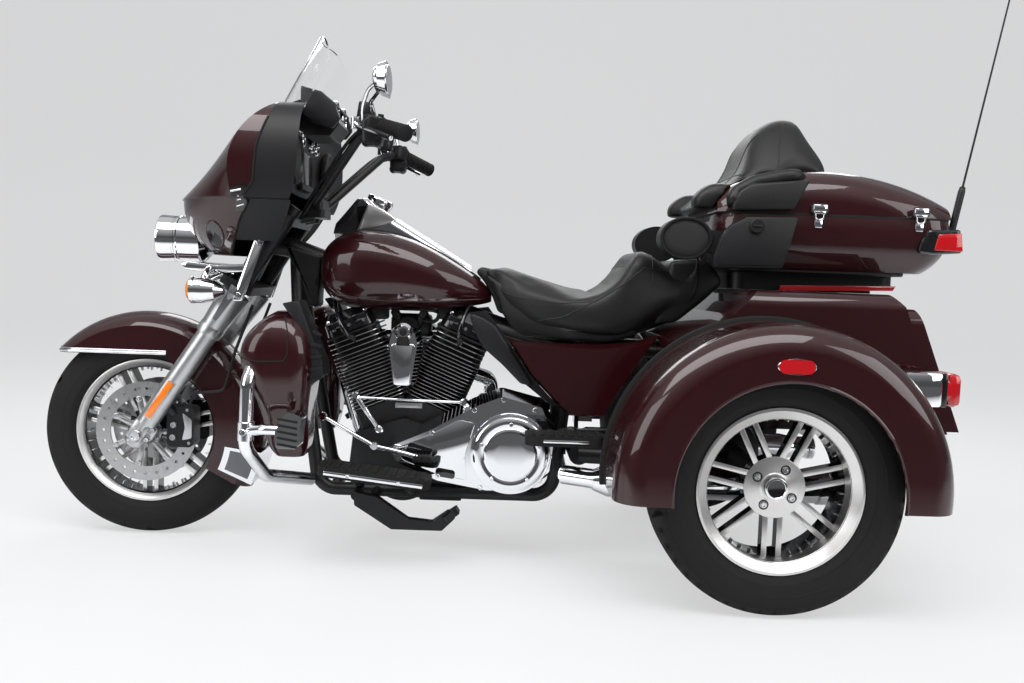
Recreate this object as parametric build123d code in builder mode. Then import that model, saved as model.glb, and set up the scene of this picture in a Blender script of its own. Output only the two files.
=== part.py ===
from build123d import *
from math import cos, radians, sin, tan
import os

os.makedirs("parts", exist_ok=True)

# The trike stands on its wheels on the floor. X points to the rear, Y to the rider's right and Z up.
# All sizes are millimetres.

# Driving sizes
WHEELBASE = 1706.0
FRONT_X = -1053.6
REAR_X = FRONT_X + WHEELBASE
FRONT_RADIUS = 308.0
REAR_RADIUS = 308.0
REAR_WHEEL_Y = 530.0
RAKE = 26.0
TRAIL = 100.0
FORK_ANGLE = 33.0
FORK_Y = 118.0
GAP = 0.4


def write(made, name):
    made.label = name
    export_step(made, f"parts/{name}.step")


def fwd(distance):
    # X of a place that lies so far behind the front axle
    return FRONT_X + distance


def aft(distance):
    # X of a place that lies so far behind the rear axle
    return REAR_X + distance


def axle_plane(x, y, z, turn=90.0):
    # Sketch plane through an axle: local x runs along the axle and local y outward at the turn
    c, s = cos(radians(turn)), sin(radians(turn))
    return Plane(origin=(x, y, z), x_dir=(0, 1, 0), z_dir=(s, 0, -c))


def side_plane(y):
    # Sketch plane seen from the left: local x runs to the rear and local y up, normal to the left
    return Plane(origin=(0, y, 0), x_dir=(1, 0, 0), z_dir=(0, -1, 0))


def cross_plane(x):
    # Sketch plane across the trike: local x runs to the right and local y up, normal to the rear
    return Plane(origin=(x, 0, 0), x_dir=(0, 1, 0), z_dir=(1, 0, 0))


def flip(points):
    # The same places on the other side
    return [(x, -y, z) for x, y, z in points]


def tube(points, radius, bend=30.0):
    # Round bar along a path with rounded corners
    with BuildLine() as path:
        if len(points) > 2:
            FilletPolyline(*points, radius=bend)
        else:
            Line(*points)
    with BuildPart() as bar:
        with BuildSketch(Plane(path.line @ 0, z_dir=path.line % 0)):
            Circle(radius)
        sweep(path=path.line)
    return bar.part


def spun(origin, direction, profile):
    # Solid of revolution: profile is rows of distance along the axis and radius
    way = Vector(*direction).normalized()
    side = Vector(0, 1, 0) if abs(way.Y) < 0.5 else Vector(1, 0, 0)
    with BuildPart() as body:
        with BuildSketch(Plane(origin=origin, x_dir=way, z_dir=way.cross(side))):
            with BuildLine():
                Polyline((profile[0][0], 0), *profile, (profile[-1][0], 0), close=True)
            make_face()
        revolve(axis=Axis(origin, tuple(way)))
    return body.part


def sections_x(rows, ruled=False):
    # Loft along X: rows of x, middle y, half width, bottom z, top z, corner radius
    with BuildPart() as body:
        for x, y, half, low, high, corner in rows:
            with BuildSketch(cross_plane(x)):
                with Locations((y, (low + high) / 2)):
                    RectangleRounded(2 * half, high - low, corner)
        loft(ruled=ruled)
    return body.part


def sections_z(rows):
    # Loft along Z: rows of z, front x, rear x, middle y, half width, corner radius
    with BuildPart() as body:
        for z, front, rear, y, half, corner in rows:
            with BuildSketch(Plane.XY.offset(z)):
                with Locations(((front + rear) / 2, y)):
                    RectangleRounded(rear - front, 2 * half, corner)
        loft()
    return body.part


def side_panel(outline, y, depth, bend=0.0, taper=0.0):
    # Flat panel cut to a side outline, from y to the left by its depth
    with BuildPart() as body:
        with BuildSketch(side_plane(y)) as face:
            with BuildLine():
                Polyline(*outline, close=True)
            make_face()
            if bend:
                fillet(face.vertices(), bend)
        extrude(amount=depth, taper=taper)
    return body.part


# Steering axis and fork line
RAKE_TAN = tan(radians(RAKE))
FORK_TAN = tan(radians(FORK_ANGLE))
STEER_DIR = Vector(sin(radians(RAKE)), 0, cos(radians(RAKE)))
FORK_DIR = Vector(sin(radians(FORK_ANGLE)), 0, cos(radians(FORK_ANGLE)))


def steer_x(z):
    return fwd(-TRAIL + z * RAKE_TAN)


def fork_x(z):
    return fwd((z - FRONT_RADIUS) * FORK_TAN)


# Front wheel sizes
FRONT_TYRE_HALF = 63.0
FRONT_FOOT_HALF = 34.0
FRONT_BEAD_HALF = 41.0
FRONT_BEAD_R = 196.0
FRONT_LIP_R = 210.0
FRONT_LIP_HALF = 48.0
FRONT_HUB_HALF = 60.0
FRONT_AXLE_R = 12.5
SPOKE_PAIRS = 7
RUN_FIT = 0.05

# Rear wheel sizes
REAR_TYRE_HALF = 100.0
REAR_FOOT_HALF = 68.0
REAR_BEAD_HALF = 76.0
REAR_BEAD_R = 188.0
REAR_LIP_R = 202.0
REAR_LIP_HALF = 83.0
REAR_DISH = 55.0
REAR_SPINDLE_R = 25.0


def tyre(x, y, z, radius, half, foot_half, foot_r, shoulder, drop, crown):
    # Tyre of plain cones: its foot sits between the lips of its rim and its sides bulge over them
    middle = (foot_r + GAP + radius) / 2
    right = [(foot_half, foot_r), (half, middle), (shoulder, radius - drop), (crown, radius)]
    left = [(-across, out) for across, out in reversed(right)]
    with BuildPart() as body:
        with BuildSketch(axle_plane(x, y, z)):
            with BuildLine():
                Polyline(*right, *left, close=True)
            make_face()
        revolve(axis=Axis((x, y, z), (0, 1, 0)))
    return body.part


def cast_rim(x, y, z, lip_r, lip_half, bead_r, bead_half, barrel_r, hub_r, hub, bore, spoke):
    # One casting: barrel with two lips, hub from hub[0] to hub[1], pairs of spokes from spoke[0] to spoke[1]
    seat_r = bead_r - GAP
    seat = bead_half + GAP
    outline = [
        (-lip_half, lip_r), (-seat, lip_r), (-seat, seat_r), (seat, seat_r), (seat, lip_r), (lip_half, lip_r),
        (lip_half, lip_r - 7), (lip_half - 14, barrel_r), (14 - lip_half, barrel_r), (-lip_half, lip_r - 7),
    ]
    axis = Axis((x, y, z), (0, 1, 0))
    with BuildPart() as body:
        with BuildSketch(axle_plane(x, y, z)):
            with BuildLine():
                Polyline(*outline, close=True)
            make_face()
        revolve(axis=axis)
        with BuildSketch(axle_plane(x, y, z)):
            with BuildLine():
                Polyline((hub[0], bore), (hub[0], hub_r), (hub[1], hub_r), (hub[1], bore), close=True)
            make_face()
        revolve(axis=axis)
        reach = barrel_r + 2 - hub_r * 0.9
        middle = hub_r * 0.9 + reach / 2
        with BuildSketch(Plane(origin=(x, y + spoke[0], z), x_dir=(1, 0, 0), z_dir=(0, 1, 0))):
            with PolarLocations(0, SPOKE_PAIRS, start_angle=90):
                with Locations((middle, spoke[3] / 2), (middle, -spoke[3] / 2)):
                    Rectangle(reach, spoke[2])
        extrude(amount=spoke[1] - spoke[0])
    return body.part


def disc(x, y, z, outer, inner, hole, thick, holes):
    # Brake disc with its carrier arms, between y and y plus thick
    with BuildPart() as body:
        with BuildSketch(Plane(origin=(x, y, z), x_dir=(1, 0, 0), z_dir=(0, 1, 0))):
            Circle(outer)
            Circle(inner, mode=Mode.SUBTRACT)
            Circle(hole + 18)
            with PolarLocations((hole + inner) / 2, SPOKE_PAIRS):
                Rectangle(inner - hole + 6, 16)
            Circle(hole, mode=Mode.SUBTRACT)
            with PolarLocations((outer + inner) / 2, holes):
                Circle(4.5, mode=Mode.SUBTRACT)
        extrude(amount=thick)
    return body.part


# Front wheel
FRONT_HUB = (fwd(0), 0, FRONT_RADIUS)
write(
    tyre(
        *FRONT_HUB, FRONT_RADIUS, FRONT_TYRE_HALF, FRONT_FOOT_HALF, FRONT_BEAD_R,
        shoulder=49, drop=13, crown=22,
    ),
    "front_tyre",
)
write(
    cast_rim(
        *FRONT_HUB, FRONT_LIP_R, FRONT_LIP_HALF, FRONT_BEAD_R, FRONT_BEAD_HALF, 186, 48,
        (-FRONT_HUB_HALF, FRONT_HUB_HALF), FRONT_AXLE_R + RUN_FIT, (-22, 22, 13, 34),
    ),
    "front_rim",
)
DISC_R = 146.0
DISC_THICK = 5.0
with BuildPart() as front_discs:
    add(disc(fwd(0), FRONT_HUB_HALF, FRONT_RADIUS, DISC_R, 104, 26, DISC_THICK, 24))
    mirror(about=Plane.XZ)
write(front_discs.part, "front_discs")

# Rear wheels
for name, side in (("left", -1), ("right", 1)):
    hub = (aft(0), side * REAR_WHEEL_Y, REAR_RADIUS)
    write(
        tyre(
            *hub, REAR_RADIUS, REAR_TYRE_HALF, REAR_FOOT_HALF, REAR_BEAD_R,
            shoulder=86, drop=12, crown=60,
        ),
        f"rear_tyre_{name}",
    )
    face = REAR_LIP_HALF - REAR_DISH
    hub_span = sorted((side * face, side * (face - 50)))
    spokes = sorted((side * (face - 2), side * (face - 34)))
    write(
        cast_rim(
            *hub, REAR_LIP_R, REAR_LIP_HALF, REAR_BEAD_R, REAR_BEAD_HALF, 174, 74,
            hub_span, REAR_SPINDLE_R + RUN_FIT, (*spokes, 13, 36),
        ),
        f"rear_rim_{name}",
    )

# Rear axle: housing, half shafts, spindles, swing arm and brake drums seen behind the spokes
SWING_PIVOT = (fwd(1190), 300)
HUB_INNER = REAR_WHEEL_Y + REAR_LIP_HALF - REAR_DISH - 50
with BuildPart() as rear_axle:
    add(spun((aft(0), -HUB_INNER + 12, REAR_RADIUS), (0, 1, 0), [
        (0, 60), (26, 60), (26, 34), (HUB_INNER - 112, 34), (HUB_INNER - 90, 92), (HUB_INNER - 12, 108),
        (HUB_INNER + 66, 92), (HUB_INNER + 88, 34), (2 * HUB_INNER - 50, 34), (2 * HUB_INNER - 50, 60),
        (2 * HUB_INNER - 24, 60),
    ]))
    add(spun((aft(0), -HUB_INNER - 62, REAR_RADIUS), (0, 1, 0), [
        (0, 18), (12, 18), (12, REAR_SPINDLE_R), (2 * HUB_INNER + 112, REAR_SPINDLE_R),
        (2 * HUB_INNER + 112, 18), (2 * HUB_INNER + 124, 18),
    ]))
    for side in (-1, 1):
        add(tube([
            (SWING_PIVOT[0] + 72, side * 150, SWING_PIVOT[1]), (aft(-170), side * 190, 300),
            (aft(-20), side * 190, 306),
        ], 26, 60))
    add(tube([(SWING_PIVOT[0] + 72, -164, SWING_PIVOT[1]), (SWING_PIVOT[0] + 72, 164, SWING_PIVOT[1])], 30))
write(rear_axle.part, "rear_axle")

# Frame
NECK_LOW = 772.0
NECK_HIGH = 925.0
NECK_R = 31.0
STEM_R = 16.0
CRADLE_Y = 128.0
CRADLE_Z = 172.0
TAIL_Y = 150.0
TRUNK_FRONT = aft(-240)
BACK_A = (fwd(392), 862)
BACK_B = (fwd(1010), 652)
with BuildPart() as frame:
    add(tube([
        (steer_x(900), 0, 868), (BACK_A[0], 0, BACK_A[1]), (BACK_B[0], 0, BACK_B[1]), (fwd(1200), 0, 596),
    ], 30, 80))
    for side in (-1, 1):
        add(tube([
            (fwd(418), side * 18, 838), (fwd(440), side * 70, 640),
            (fwd(520), side * CRADLE_Y, CRADLE_Z), (fwd(1190), side * CRADLE_Y, CRADLE_Z),
            (fwd(1230), side * CRADLE_Y, 600), (fwd(1010), side * 30, 648),
        ], 19, 60))
        add(tube([
            (fwd(1215), side * CRADLE_Y, 540), (fwd(1330), side * TAIL_Y, 600),
            (TRUNK_FRONT - GAP, side * TAIL_Y, 600),
        ], 17, 60))
    add(tube([(fwd(1190), -CRADLE_Y, 300), (fwd(1190), CRADLE_Y, 300)], 24))
    add(tube([(fwd(560), -CRADLE_Y, CRADLE_Z), (fwd(560), CRADLE_Y, CRADLE_Z)], 16))
    with BuildSketch(side_plane(60)):
        with Locations((fwd(1190), 300)):
            Rectangle(2 * (42 - GAP), 40)
    extrude(amount=120)
    with BuildSketch(side_plane(160)):
        with Locations((fwd(1290), 608 - GAP)):
            Rectangle(60, 44)
    extrude(amount=320)
    with BuildSketch(Plane.XY.offset(CRADLE_Z - 22)):
        with Locations((fwd(870), 0)):
            RectangleRounded(120, 2 * CRADLE_Y + 30, 10)
    extrude(amount=14)
    add(spun((steer_x(NECK_LOW), 0, NECK_LOW), tuple(STEER_DIR), [
        (0, NECK_R), ((NECK_HIGH - NECK_LOW) / cos(radians(RAKE)), NECK_R),
    ]))
    add(spun((steer_x(NECK_LOW) - 20 * STEER_DIR.X, 0, NECK_LOW - 20 * STEER_DIR.Z), tuple(STEER_DIR), [
        (0, STEM_R + RUN_FIT), (240, STEM_R + RUN_FIT),
    ]), mode=Mode.SUBTRACT)
write(frame.part, "frame")

# Engine
CRANK = (fwd(757), 235.0)
BANK = 22.5
CYL_FROM, CYL_TO = 196.0, 352.0
HEAD_TO = 424.0
ROCKER_TO = 486.0
FIN_COUNT = 15
FIN_THICK = 3.6
FIN_HALF = (84.0, 92.0)
HEAD_FINS = 5


def bank_plane(angle, reach):
    # Plane square to one cylinder, so far from the crank; local x runs to the rear, local y to the right
    a = radians(angle)
    up = Vector(sin(a), 0, cos(a))
    spot = Vector(CRANK[0], 0, CRANK[1]) + up * reach
    return Plane(origin=spot, x_dir=(cos(a), 0, -sin(a)), z_dir=up)


with BuildPart() as engine_case:
    with BuildSketch(side_plane(118)) as case_side:
        with BuildLine():
            Polyline(
                (fwd(600), 205), (fwd(640), 175), (fwd(1120), 185), (fwd(1175), 235), (fwd(1175), 365),
                (fwd(1120), 432), (fwd(970), 432), (fwd(930), 366), (fwd(832), 356), (fwd(757), 380),
                (fwd(682), 356), (fwd(612), 330), close=True,
            )
        make_face()
        fillet(case_side.vertices(), 14)
    extrude(amount=236)
    with BuildSketch(side_plane(126)):
        with Locations(CRANK):
            Circle(96)
    extrude(amount=240)
    for angle in (-BANK, BANK):
        with BuildSketch(bank_plane(angle, CYL_FROM - 60)):
            RectangleRounded(150, 190, 20)
        extrude(amount=60)
    add(frame.part, mode=Mode.SUBTRACT)
write(engine_case.part, "engine_case")

with BuildPart() as cylinders:
    for angle in (-BANK, BANK):
        with BuildSketch(bank_plane(angle, CYL_FROM + GAP)):
            Circle(66)
        extrude(amount=HEAD_TO - CYL_FROM)
        pitch = (CYL_TO - CYL_FROM) / FIN_COUNT
        with BuildSketch(*[bank_plane(angle, CYL_FROM + 4 + k * pitch) for k in range(FIN_COUNT)]):
            RectangleRounded(2 * FIN_HALF[0], 2 * FIN_HALF[1], 34)
        extrude(amount=FIN_THICK)
        with BuildSketch(bank_plane(angle, CYL_TO)):
            RectangleRounded(132, 156, 30)
        extrude(amount=HEAD_TO - CYL_TO)
        pitch = (HEAD_TO - CYL_TO) / HEAD_FINS
        with BuildSketch(*[bank_plane(angle, CYL_TO + 5 + k * pitch) for k in range(HEAD_FINS)]):
            RectangleRounded(2 * FIN_HALF[0] - 4, 2 * FIN_HALF[1] + 16, 40)
        extrude(amount=5)
    with BuildSketch(side_plane(150)):
        with Locations((CRANK[0], CRANK[1] + 120)):
            Rectangle(2 * GAP, 700)
    extrude(amount=300, mode=Mode.SUBTRACT)
write(cylinders.part, "cylinders")

with BuildPart() as rocker_boxes:
    for angle in (-BANK, BANK):
        with BuildSketch(bank_plane(angle, HEAD_TO + GAP)):
            RectangleRounded(150, 190, 34)
        with BuildSketch(bank_plane(angle, HEAD_TO + 34)):
            RectangleRounded(146, 184, 34)
        with BuildSketch(bank_plane(angle, ROCKER_TO)):
            RectangleRounded(108, 140, 34)
        loft(ruled=True)
    add(frame.part, mode=Mode.SUBTRACT)
write(rocker_boxes.part, "rocker_boxes")

# Primary cover on the left and the round clutch cover on it
PRIMARY_IN, PRIMARY_OUT = -118.0 - GAP, -214.0
CLUTCH = (fwd(1065), 307.0)
CLUTCH_R = 109.0
with BuildPart() as primary_cover:
    with BuildSketch(side_plane(PRIMARY_IN)) as primary_side:
        with BuildLine():
            Polyline(
                (fwd(702), 318), (fwd(742), 258), (fwd(860), 208), (fwd(1000), 184), (fwd(1120), 188),
                (fwd(1190), 250), (fwd(1202), 352), (fwd(1160), 450), (fwd(1036), 480), (fwd(955), 446),
                (fwd(836), 378), close=True,
            )
        make_face()
        fillet(primary_side.vertices(), 26)
    extrude(amount=PRIMARY_IN - PRIMARY_OUT, taper=9)
    add(frame.part, mode=Mode.SUBTRACT)
write(primary_cover.part, "primary_cover")
write(spun((CLUTCH[0], PRIMARY_OUT - GAP, CLUTCH[1]), (0, -1, 0), [
    (0, CLUTCH_R), (18, CLUTCH_R), (26, CLUTCH_R - 8), (30, CLUTCH_R - 40), (30, 0.5),
]), "clutch_cover")

# Air cleaner on the right, on an intake pipe between the heads, and the horn cover on the left
INTAKE_Z = 604.0
with BuildPart() as air_cleaner:
    add(spun((fwd(757), 128, 560), (0, 1, 0), [
        (0, 60), (16, 96), (66, 100), (80, 90), (86, 60), (86, 0.5),
    ]))
    add(tube([(CRANK[0] - 100, 16, INTAKE_Z), (CRANK[0] + 100, 16, INTAKE_Z)], 24))
    add(tube([(CRANK[0], 10, INTAKE_Z), (CRANK[0], 130, INTAKE_Z - 14)], 24))
    add(cylinders.part, mode=Mode.SUBTRACT)
    add(rocker_boxes.part, mode=Mode.SUBTRACT)
write(air_cleaner.part, "air_cleaner")
with BuildPart() as horn_cover:
    with BuildSketch(side_plane(-132)) as horn_side:
        with BuildLine():
            Polyline(
                (fwd(724), 476), (fwd(790), 476), (fwd(806), 600), (fwd(796), 642), (fwd(718), 642),
                (fwd(708), 600), close=True,
            )
        make_face()
        fillet(horn_side.vertices(), 14)
    extrude(amount=70, taper=8)
    add(tube([(CRANK[0], 0, INTAKE_Z), (CRANK[0], -134, INTAKE_Z)], 12))
    add(air_cleaner.part, mode=Mode.SUBTRACT)
write(horn_cover.part, "horn_cover")

# Exhaust: two headers on the right, a crossover to the left and a muffler along the inside of each wheel
MUFFLER_R = 44.0
MUFFLER_Y = 318.0
MUFFLER_Z = 262.0
with BuildPart() as exhaust:
    for side in (-1, 1):
        add(tube([
            (fwd(1212), side * 262, MUFFLER_Z), (aft(-400), side * MUFFLER_Y, MUFFLER_Z),
            (aft(-250), side * MUFFLER_Y, MUFFLER_Z),
        ], 26, 60))
        add(spun((aft(-420), side * MUFFLER_Y, MUFFLER_Z), (1, 0, 0), [
            (0, 27), (40, MUFFLER_R), (690, MUFFLER_R), (730, 36), (800, 36), (800, 0.5),
        ]))
    add(tube([
        (fwd(560), 96, 470), (fwd(545), 190, 440), (fwd(600), 222, 250), (fwd(760), 236, 228),
        (fwd(1120), 236, 236), (fwd(1215), 262, MUFFLER_Z),
    ], 24, 50))
    add(tube([
        (fwd(930), 96, 500), (fwd(1000), 190, 470), (fwd(1010), 226, 300), (fwd(1120), 236, 240),
    ], 24, 50))
    add(tube([(fwd(1218), -262, MUFFLER_Z), (fwd(1222), 0, 214), (fwd(1218), 262, MUFFLER_Z)], 22, 80))
    add(cylinders.part, mode=Mode.SUBTRACT)
    add(engine_case.part, mode=Mode.SUBTRACT)
    add(frame.part, mode=Mode.SUBTRACT)
    add(rear_axle.part, mode=Mode.SUBTRACT)
write(exhaust.part, "exhaust")

# Fuel tank: solid shell over a tunnel for the backbone, then its console
TANK_ROWS = [
    (fwd(498), 0, 60, 770, 830, 28),
    (fwd(520), 0, 108, 728, 872, 55),
    (fwd(580), 0, 150, 694, 908, 84),
    (fwd(680), 0, 164, 690, 914, 96),
    (fwd(790), 0, 158, 694, 884, 86),
    (fwd(900), 0, 120, 702, 826, 56),
    (fwd(960), 0, 84, 712, 786, 34),
    (fwd(996), 0, 50, 722, 746, 10),
]
TUNNEL_HALF = 36.0
with BuildPart() as fuel_tank:
    add(sections_x(TANK_ROWS))
    with BuildSketch(side_plane(TUNNEL_HALF)):
        with BuildLine():
            Polyline(
                (fwd(380), BACK_A[1] + 44), (BACK_B[0] + 20, BACK_B[1] + 44), (BACK_B[0] + 20, 500),
                (fwd(380), 500), close=True,
            )
        make_face()
    extrude(amount=2 * TUNNEL_HALF, mode=Mode.SUBTRACT)
    add(frame.part, mode=Mode.SUBTRACT)
    add(rocker_boxes.part, mode=Mode.SUBTRACT)
write(fuel_tank.part, "fuel_tank")

with BuildPart() as tank_console:
    add(sections_x([
        (fwd(534), 0, 44, 850, 936, 18),
        (fwd(598), 0, 58, 860, 1010, 26),
        (fwd(626), 0, 58, 860, 1012, 26),
        (fwd(702), 0, 52, 850, 956, 24),
        (fwd(934), 0, 34, 760, 818, 14),
    ], ruled=True))
    add(spun((fwd(640), 0, 960), (0.4, 0, 1), [(0, 36), (46, 36), (54, 28), (56, 0.5)]))
    add(fuel_tank.part, mode=Mode.SUBTRACT)
write(tank_console.part, "tank_console")

# Seat: rider bucket and pillion in one cushion
SEAT_ROWS = [
    (fwd(966), 0, 70, 796, 826, 14),
    (fwd(1006), 0, 104, 750, 822, 30),
    (fwd(1070), 0, 146, 676, 804, 46),
    (fwd(1180), 0, 190, 640, 772, 50),
    (fwd(1290), 0, 205, 630, 766, 50),
    (fwd(1360), 0, 206, 632, 830, 56),
    (fwd(1400), 0, 200, 640, 886, 60),
    (fwd(1450), 0, 184, 660, 878, 60),
    (fwd(1560), 0, 168, 700, 866, 60),
    (aft(-116), 0, 160, 760, 860, 40),
]
with BuildPart() as seat:
    add(sections_x(SEAT_ROWS))
write(seat.part, "seat")

# Side covers under the seat, with the black deflectors along their front edges
COVER_IN = -184.0
COVER_FRONT = [(fwd(1046), 622), (fwd(1110), 528), (fwd(1222), 414)]
with BuildPart() as side_covers:
    add(side_panel([
        *COVER_FRONT, (fwd(1322), 412), (fwd(1402), 545), (TRUNK_FRONT - 3, 636), (TRUNK_FRONT - 3, 648),
        (fwd(1400), 628), (fwd(1300), 616), (fwd(1120), 618),
    ], COVER_IN, 46, taper=12))
    add(tube([(fwd(1222), -CRADLE_Y - 8, 540), (fwd(1222), COVER_IN - 6, 540)], 10))
    mirror(about=Plane.XZ)
    add(frame.part, mode=Mode.SUBTRACT)
write(side_covers.part, "side_covers")
with BuildPart() as heat_deflectors:
    seam = [(x - GAP, z) for x, z in COVER_FRONT[:2]]
    add(side_panel([
        (fwd(938), 694), (fwd(986), 700), *seam, (fwd(1194) - GAP, 442), (fwd(1178), 440), (fwd(1078), 516),
        (fwd(1004), 606),
    ], COVER_IN, 14))
    mirror(about=Plane.XZ)
write(heat_deflectors.part, "heat_deflectors")

# Engine guard hoop with the forward pegs
GUARD_R = 18.0
GUARD_PATH = [
    (fwd(500), -CRADLE_Y - 17, 200), (fwd(402), -280, 236), (fwd(372), -384, 330), (fwd(376), -384, 500),
    (fwd(394), -330, 600), (fwd(432), -180, 640), (fwd(436), 0, 640),
]
with BuildPart() as engine_guard:
    add(tube(GUARD_PATH, GUARD_R, 60))
    add(tube([(fwd(372), -384, 372), (fwd(430), -420, 384), (fwd(520), -420, 384)], 13, 30))
    add(side_panel([
        (fwd(468), 342), (fwd(466), 386), (fwd(494), 438), (fwd(532), 426), (fwd(524), 342),
    ], -392, 64, 10))
    mirror(about=Plane.XZ)
    add(frame.part, mode=Mode.SUBTRACT)
write(engine_guard.part, "engine_guard")

# Leg shields: closed pods on the guard, open along its tube
with BuildPart() as leg_shields:
    add(sections_z([
        (292, fwd(430), fwd(505), -240, 60, 28),
        (400, fwd(400), fwd(520), -262, 92, 44),
        (500, fwd(362), fwd(532), -276, 110, 56),
        (590, fwd(346), fwd(534), -280, 108, 60),
        (650, fwd(384), fwd(512), -280, 92, 52),
        (684, fwd(430), fwd(478), -270, 44, 22),
    ]))
    add(tube([(x, y, z) for x, y, z in GUARD_PATH], GUARD_R + GAP, 60), mode=Mode.SUBTRACT)
    add(frame.part, mode=Mode.SUBTRACT)
    mirror(about=Plane.XZ)
write(leg_shields.part, "leg_shields")

# Foot boards with their brackets
RIDER_BOARD = (fwd(706), -318, 268)
PILLION_BOARD = (fwd(1206), -350, 388)
with BuildPart() as foot_boards:
    with BuildSketch(Plane(origin=RIDER_BOARD, x_dir=(1, 0, -0.11), z_dir=(0.11, 0, 1))):
        RectangleRounded(300, 116, 34)
    extrude(amount=-26)
    add(tube([(fwd(640), -CRADLE_Y - 17, 190), (fwd(640), -290, 240), (fwd(640), -300, 262)], 12, 30))
    add(tube([(fwd(790), -CRADLE_Y - 17, 176), (fwd(790), -290, 220), (fwd(790), -300, 246)], 12, 30))
    with BuildSketch(Plane(origin=PILLION_BOARD, x_dir=(1, 0, 0), z_dir=(0, 0, 1))):
        RectangleRounded(212, 110, 30)
    extrude(amount=-26)
    add(tube([(fwd(1213), -CRADLE_Y - 17, 360), (fwd(1213), -300, 376)], 14))
    mirror(about=Plane.XZ)
    add(frame.part, mode=Mode.SUBTRACT)
    add(primary_cover.part, mode=Mode.SUBTRACT)
    add(exhaust.part, mode=Mode.SUBTRACT)
write(foot_boards.part, "foot_boards")

# Foot controls: parking brake arm and shifter on the left, brake pedal on the right
with BuildPart() as foot_controls:
    add(tube([(fwd(690), -CRADLE_Y - 18, CRADLE_Z), (fwd(690), -262, CRADLE_Z)], 14))
    add(side_panel([
        (fwd(640), 194), (fwd(704), 182), (fwd(790), 124), (fwd(856), 118), (fwd(900), 150), (fwd(924), 134),
        (fwd(884), 94), (fwd(745), 94), (fwd(642), 158),
    ], -238, 28, 8))
    with BuildSketch(Plane(origin=(fwd(908), -256, 140), x_dir=(1, 0, 0.7), z_dir=(-0.7, 0, 1))):
        RectangleRounded(46, 60, 10)
    extrude(amount=8, both=True)
    add(tube([(fwd(640), -CRADLE_Y - 18, CRADLE_Z + 4), (fwd(640), -236, CRADLE_Z + 4)], 12))
    add(tube([(fwd(640), CRADLE_Y + 18, CRADLE_Z + 4), (fwd(640), 250, CRADLE_Z + 4)], 12))
    add(tube([(fwd(640), 244, CRADLE_Z), (fwd(600), 250, 250), (fwd(556), 300, 330)], 11, 30))
    with BuildSketch(Plane(origin=(fwd(556), 300, 334), x_dir=(1, 0, 0.6), z_dir=(-0.6, 0, 1))):
        RectangleRounded(64, 76, 14)
    extrude(amount=8, both=True)
    add(foot_boards.part, mode=Mode.SUBTRACT)
    add(frame.part, mode=Mode.SUBTRACT)
    add(exhaust.part, mode=Mode.SUBTRACT)
write(foot_controls.part, "foot_controls")

# Rear body: hollow trunk between the wheels, split at its rear door
BODY_Y = 412.0
BODY_FLOOR = 430.0
BODY_TOP = 786.0
WALL = 6.0
DOOR_LOW = (aft(486), BODY_FLOOR)
DOOR_HIGH = (aft(358), BODY_TOP - 30)
DOOR_THICK = 34.0
TOP_EDGE = (aft(-20), aft(326))
SHOULDER = 42.0
PIN_R = 4.0
KNUCKLE_R = 9.0
KNUCKLE = 16.0
DOOR_HINGE = (DOOR_LOW[0] + DOOR_THICK + 12, BODY_FLOOR - 6)
DOOR_HINGE_Y = (-230.0, 230.0)
BARREL = 40.0


def trunk_block(by):
    # Closed block of the trunk drawn in by a wall, its upper edges rounded and its rear end left long
    rear = 80 if by else 0
    outline = [
        (TRUNK_FRONT + by, BODY_FLOOR + 60 + by / 2), (TRUNK_FRONT + 30 + by, BODY_FLOOR + by),
        (DOOR_LOW[0] + rear, DOOR_LOW[1] + by), (DOOR_HIGH[0] + rear, DOOR_HIGH[1] - by),
        (TOP_EDGE[1] + rear, BODY_TOP - by), (TOP_EDGE[0] + by / 2, BODY_TOP - by), (aft(-84) + by, 720 - by),
        (TRUNK_FRONT + by, 650 - by),
    ]
    with BuildPart() as block:
        add(side_panel(outline, BODY_Y - by, 2 * (BODY_Y - by)))
        top = block.faces().sort_by(Axis.Z)[-1].edges().filter_by(Axis.X)
        fillet(top, SHOULDER - by)
    return block.part


with BuildPart() as trunk_body:
    for y in DOOR_HINGE_Y:
        add(tube([
            (DOOR_HINGE[0], y - BARREL, DOOR_HINGE[1]), (DOOR_HINGE[0], y + BARREL, DOOR_HINGE[1]),
        ], PIN_R))
        for end in (y - BARREL, y + BARREL - KNUCKLE):
            with BuildSketch(side_plane(end + KNUCKLE)):
                with BuildLine():
                    Polyline(
                        (DOOR_LOW[0] - 40, BODY_FLOOR + 1), (DOOR_LOW[0] - 40, BODY_FLOOR - 12),
                        (DOOR_HINGE[0] - 8, BODY_FLOOR - 14), (DOOR_HINGE[0], BODY_FLOOR - 6),
                        (DOOR_LOW[0] - 4, BODY_FLOOR + 1), close=True,
                    )
                make_face()
                with Locations(DOOR_HINGE):
                    Circle(KNUCKLE_R)
            extrude(amount=KNUCKLE)
    add(trunk_block(0.0))
    add(trunk_block(WALL), mode=Mode.SUBTRACT)
write(trunk_body.part, "trunk_body")

# Rear fenders: open arches over the wheels, fixed to the sides of the trunk
FENDER_IN = BODY_Y + GAP
FENDER_OUT = 690.0
FENDER_R = 404.0
FENDER_WALL = 5.0
LIP_R = 272.0


def arch(radius, low, y, depth):
    # Side outline of an arch about the rear axle, closed along its foot
    foot = low - REAR_RADIUS
    x = (radius ** 2 - foot ** 2) ** 0.5
    with BuildPart() as body:
        with BuildSketch(side_plane(y)):
            with BuildLine():
                ThreePointArc((aft(-x), low), (aft(0), REAR_RADIUS + radius), (aft(x), low))
                Line((aft(x), low), (aft(-x), low))
            make_face()
        extrude(amount=depth)
    return body.part


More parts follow.
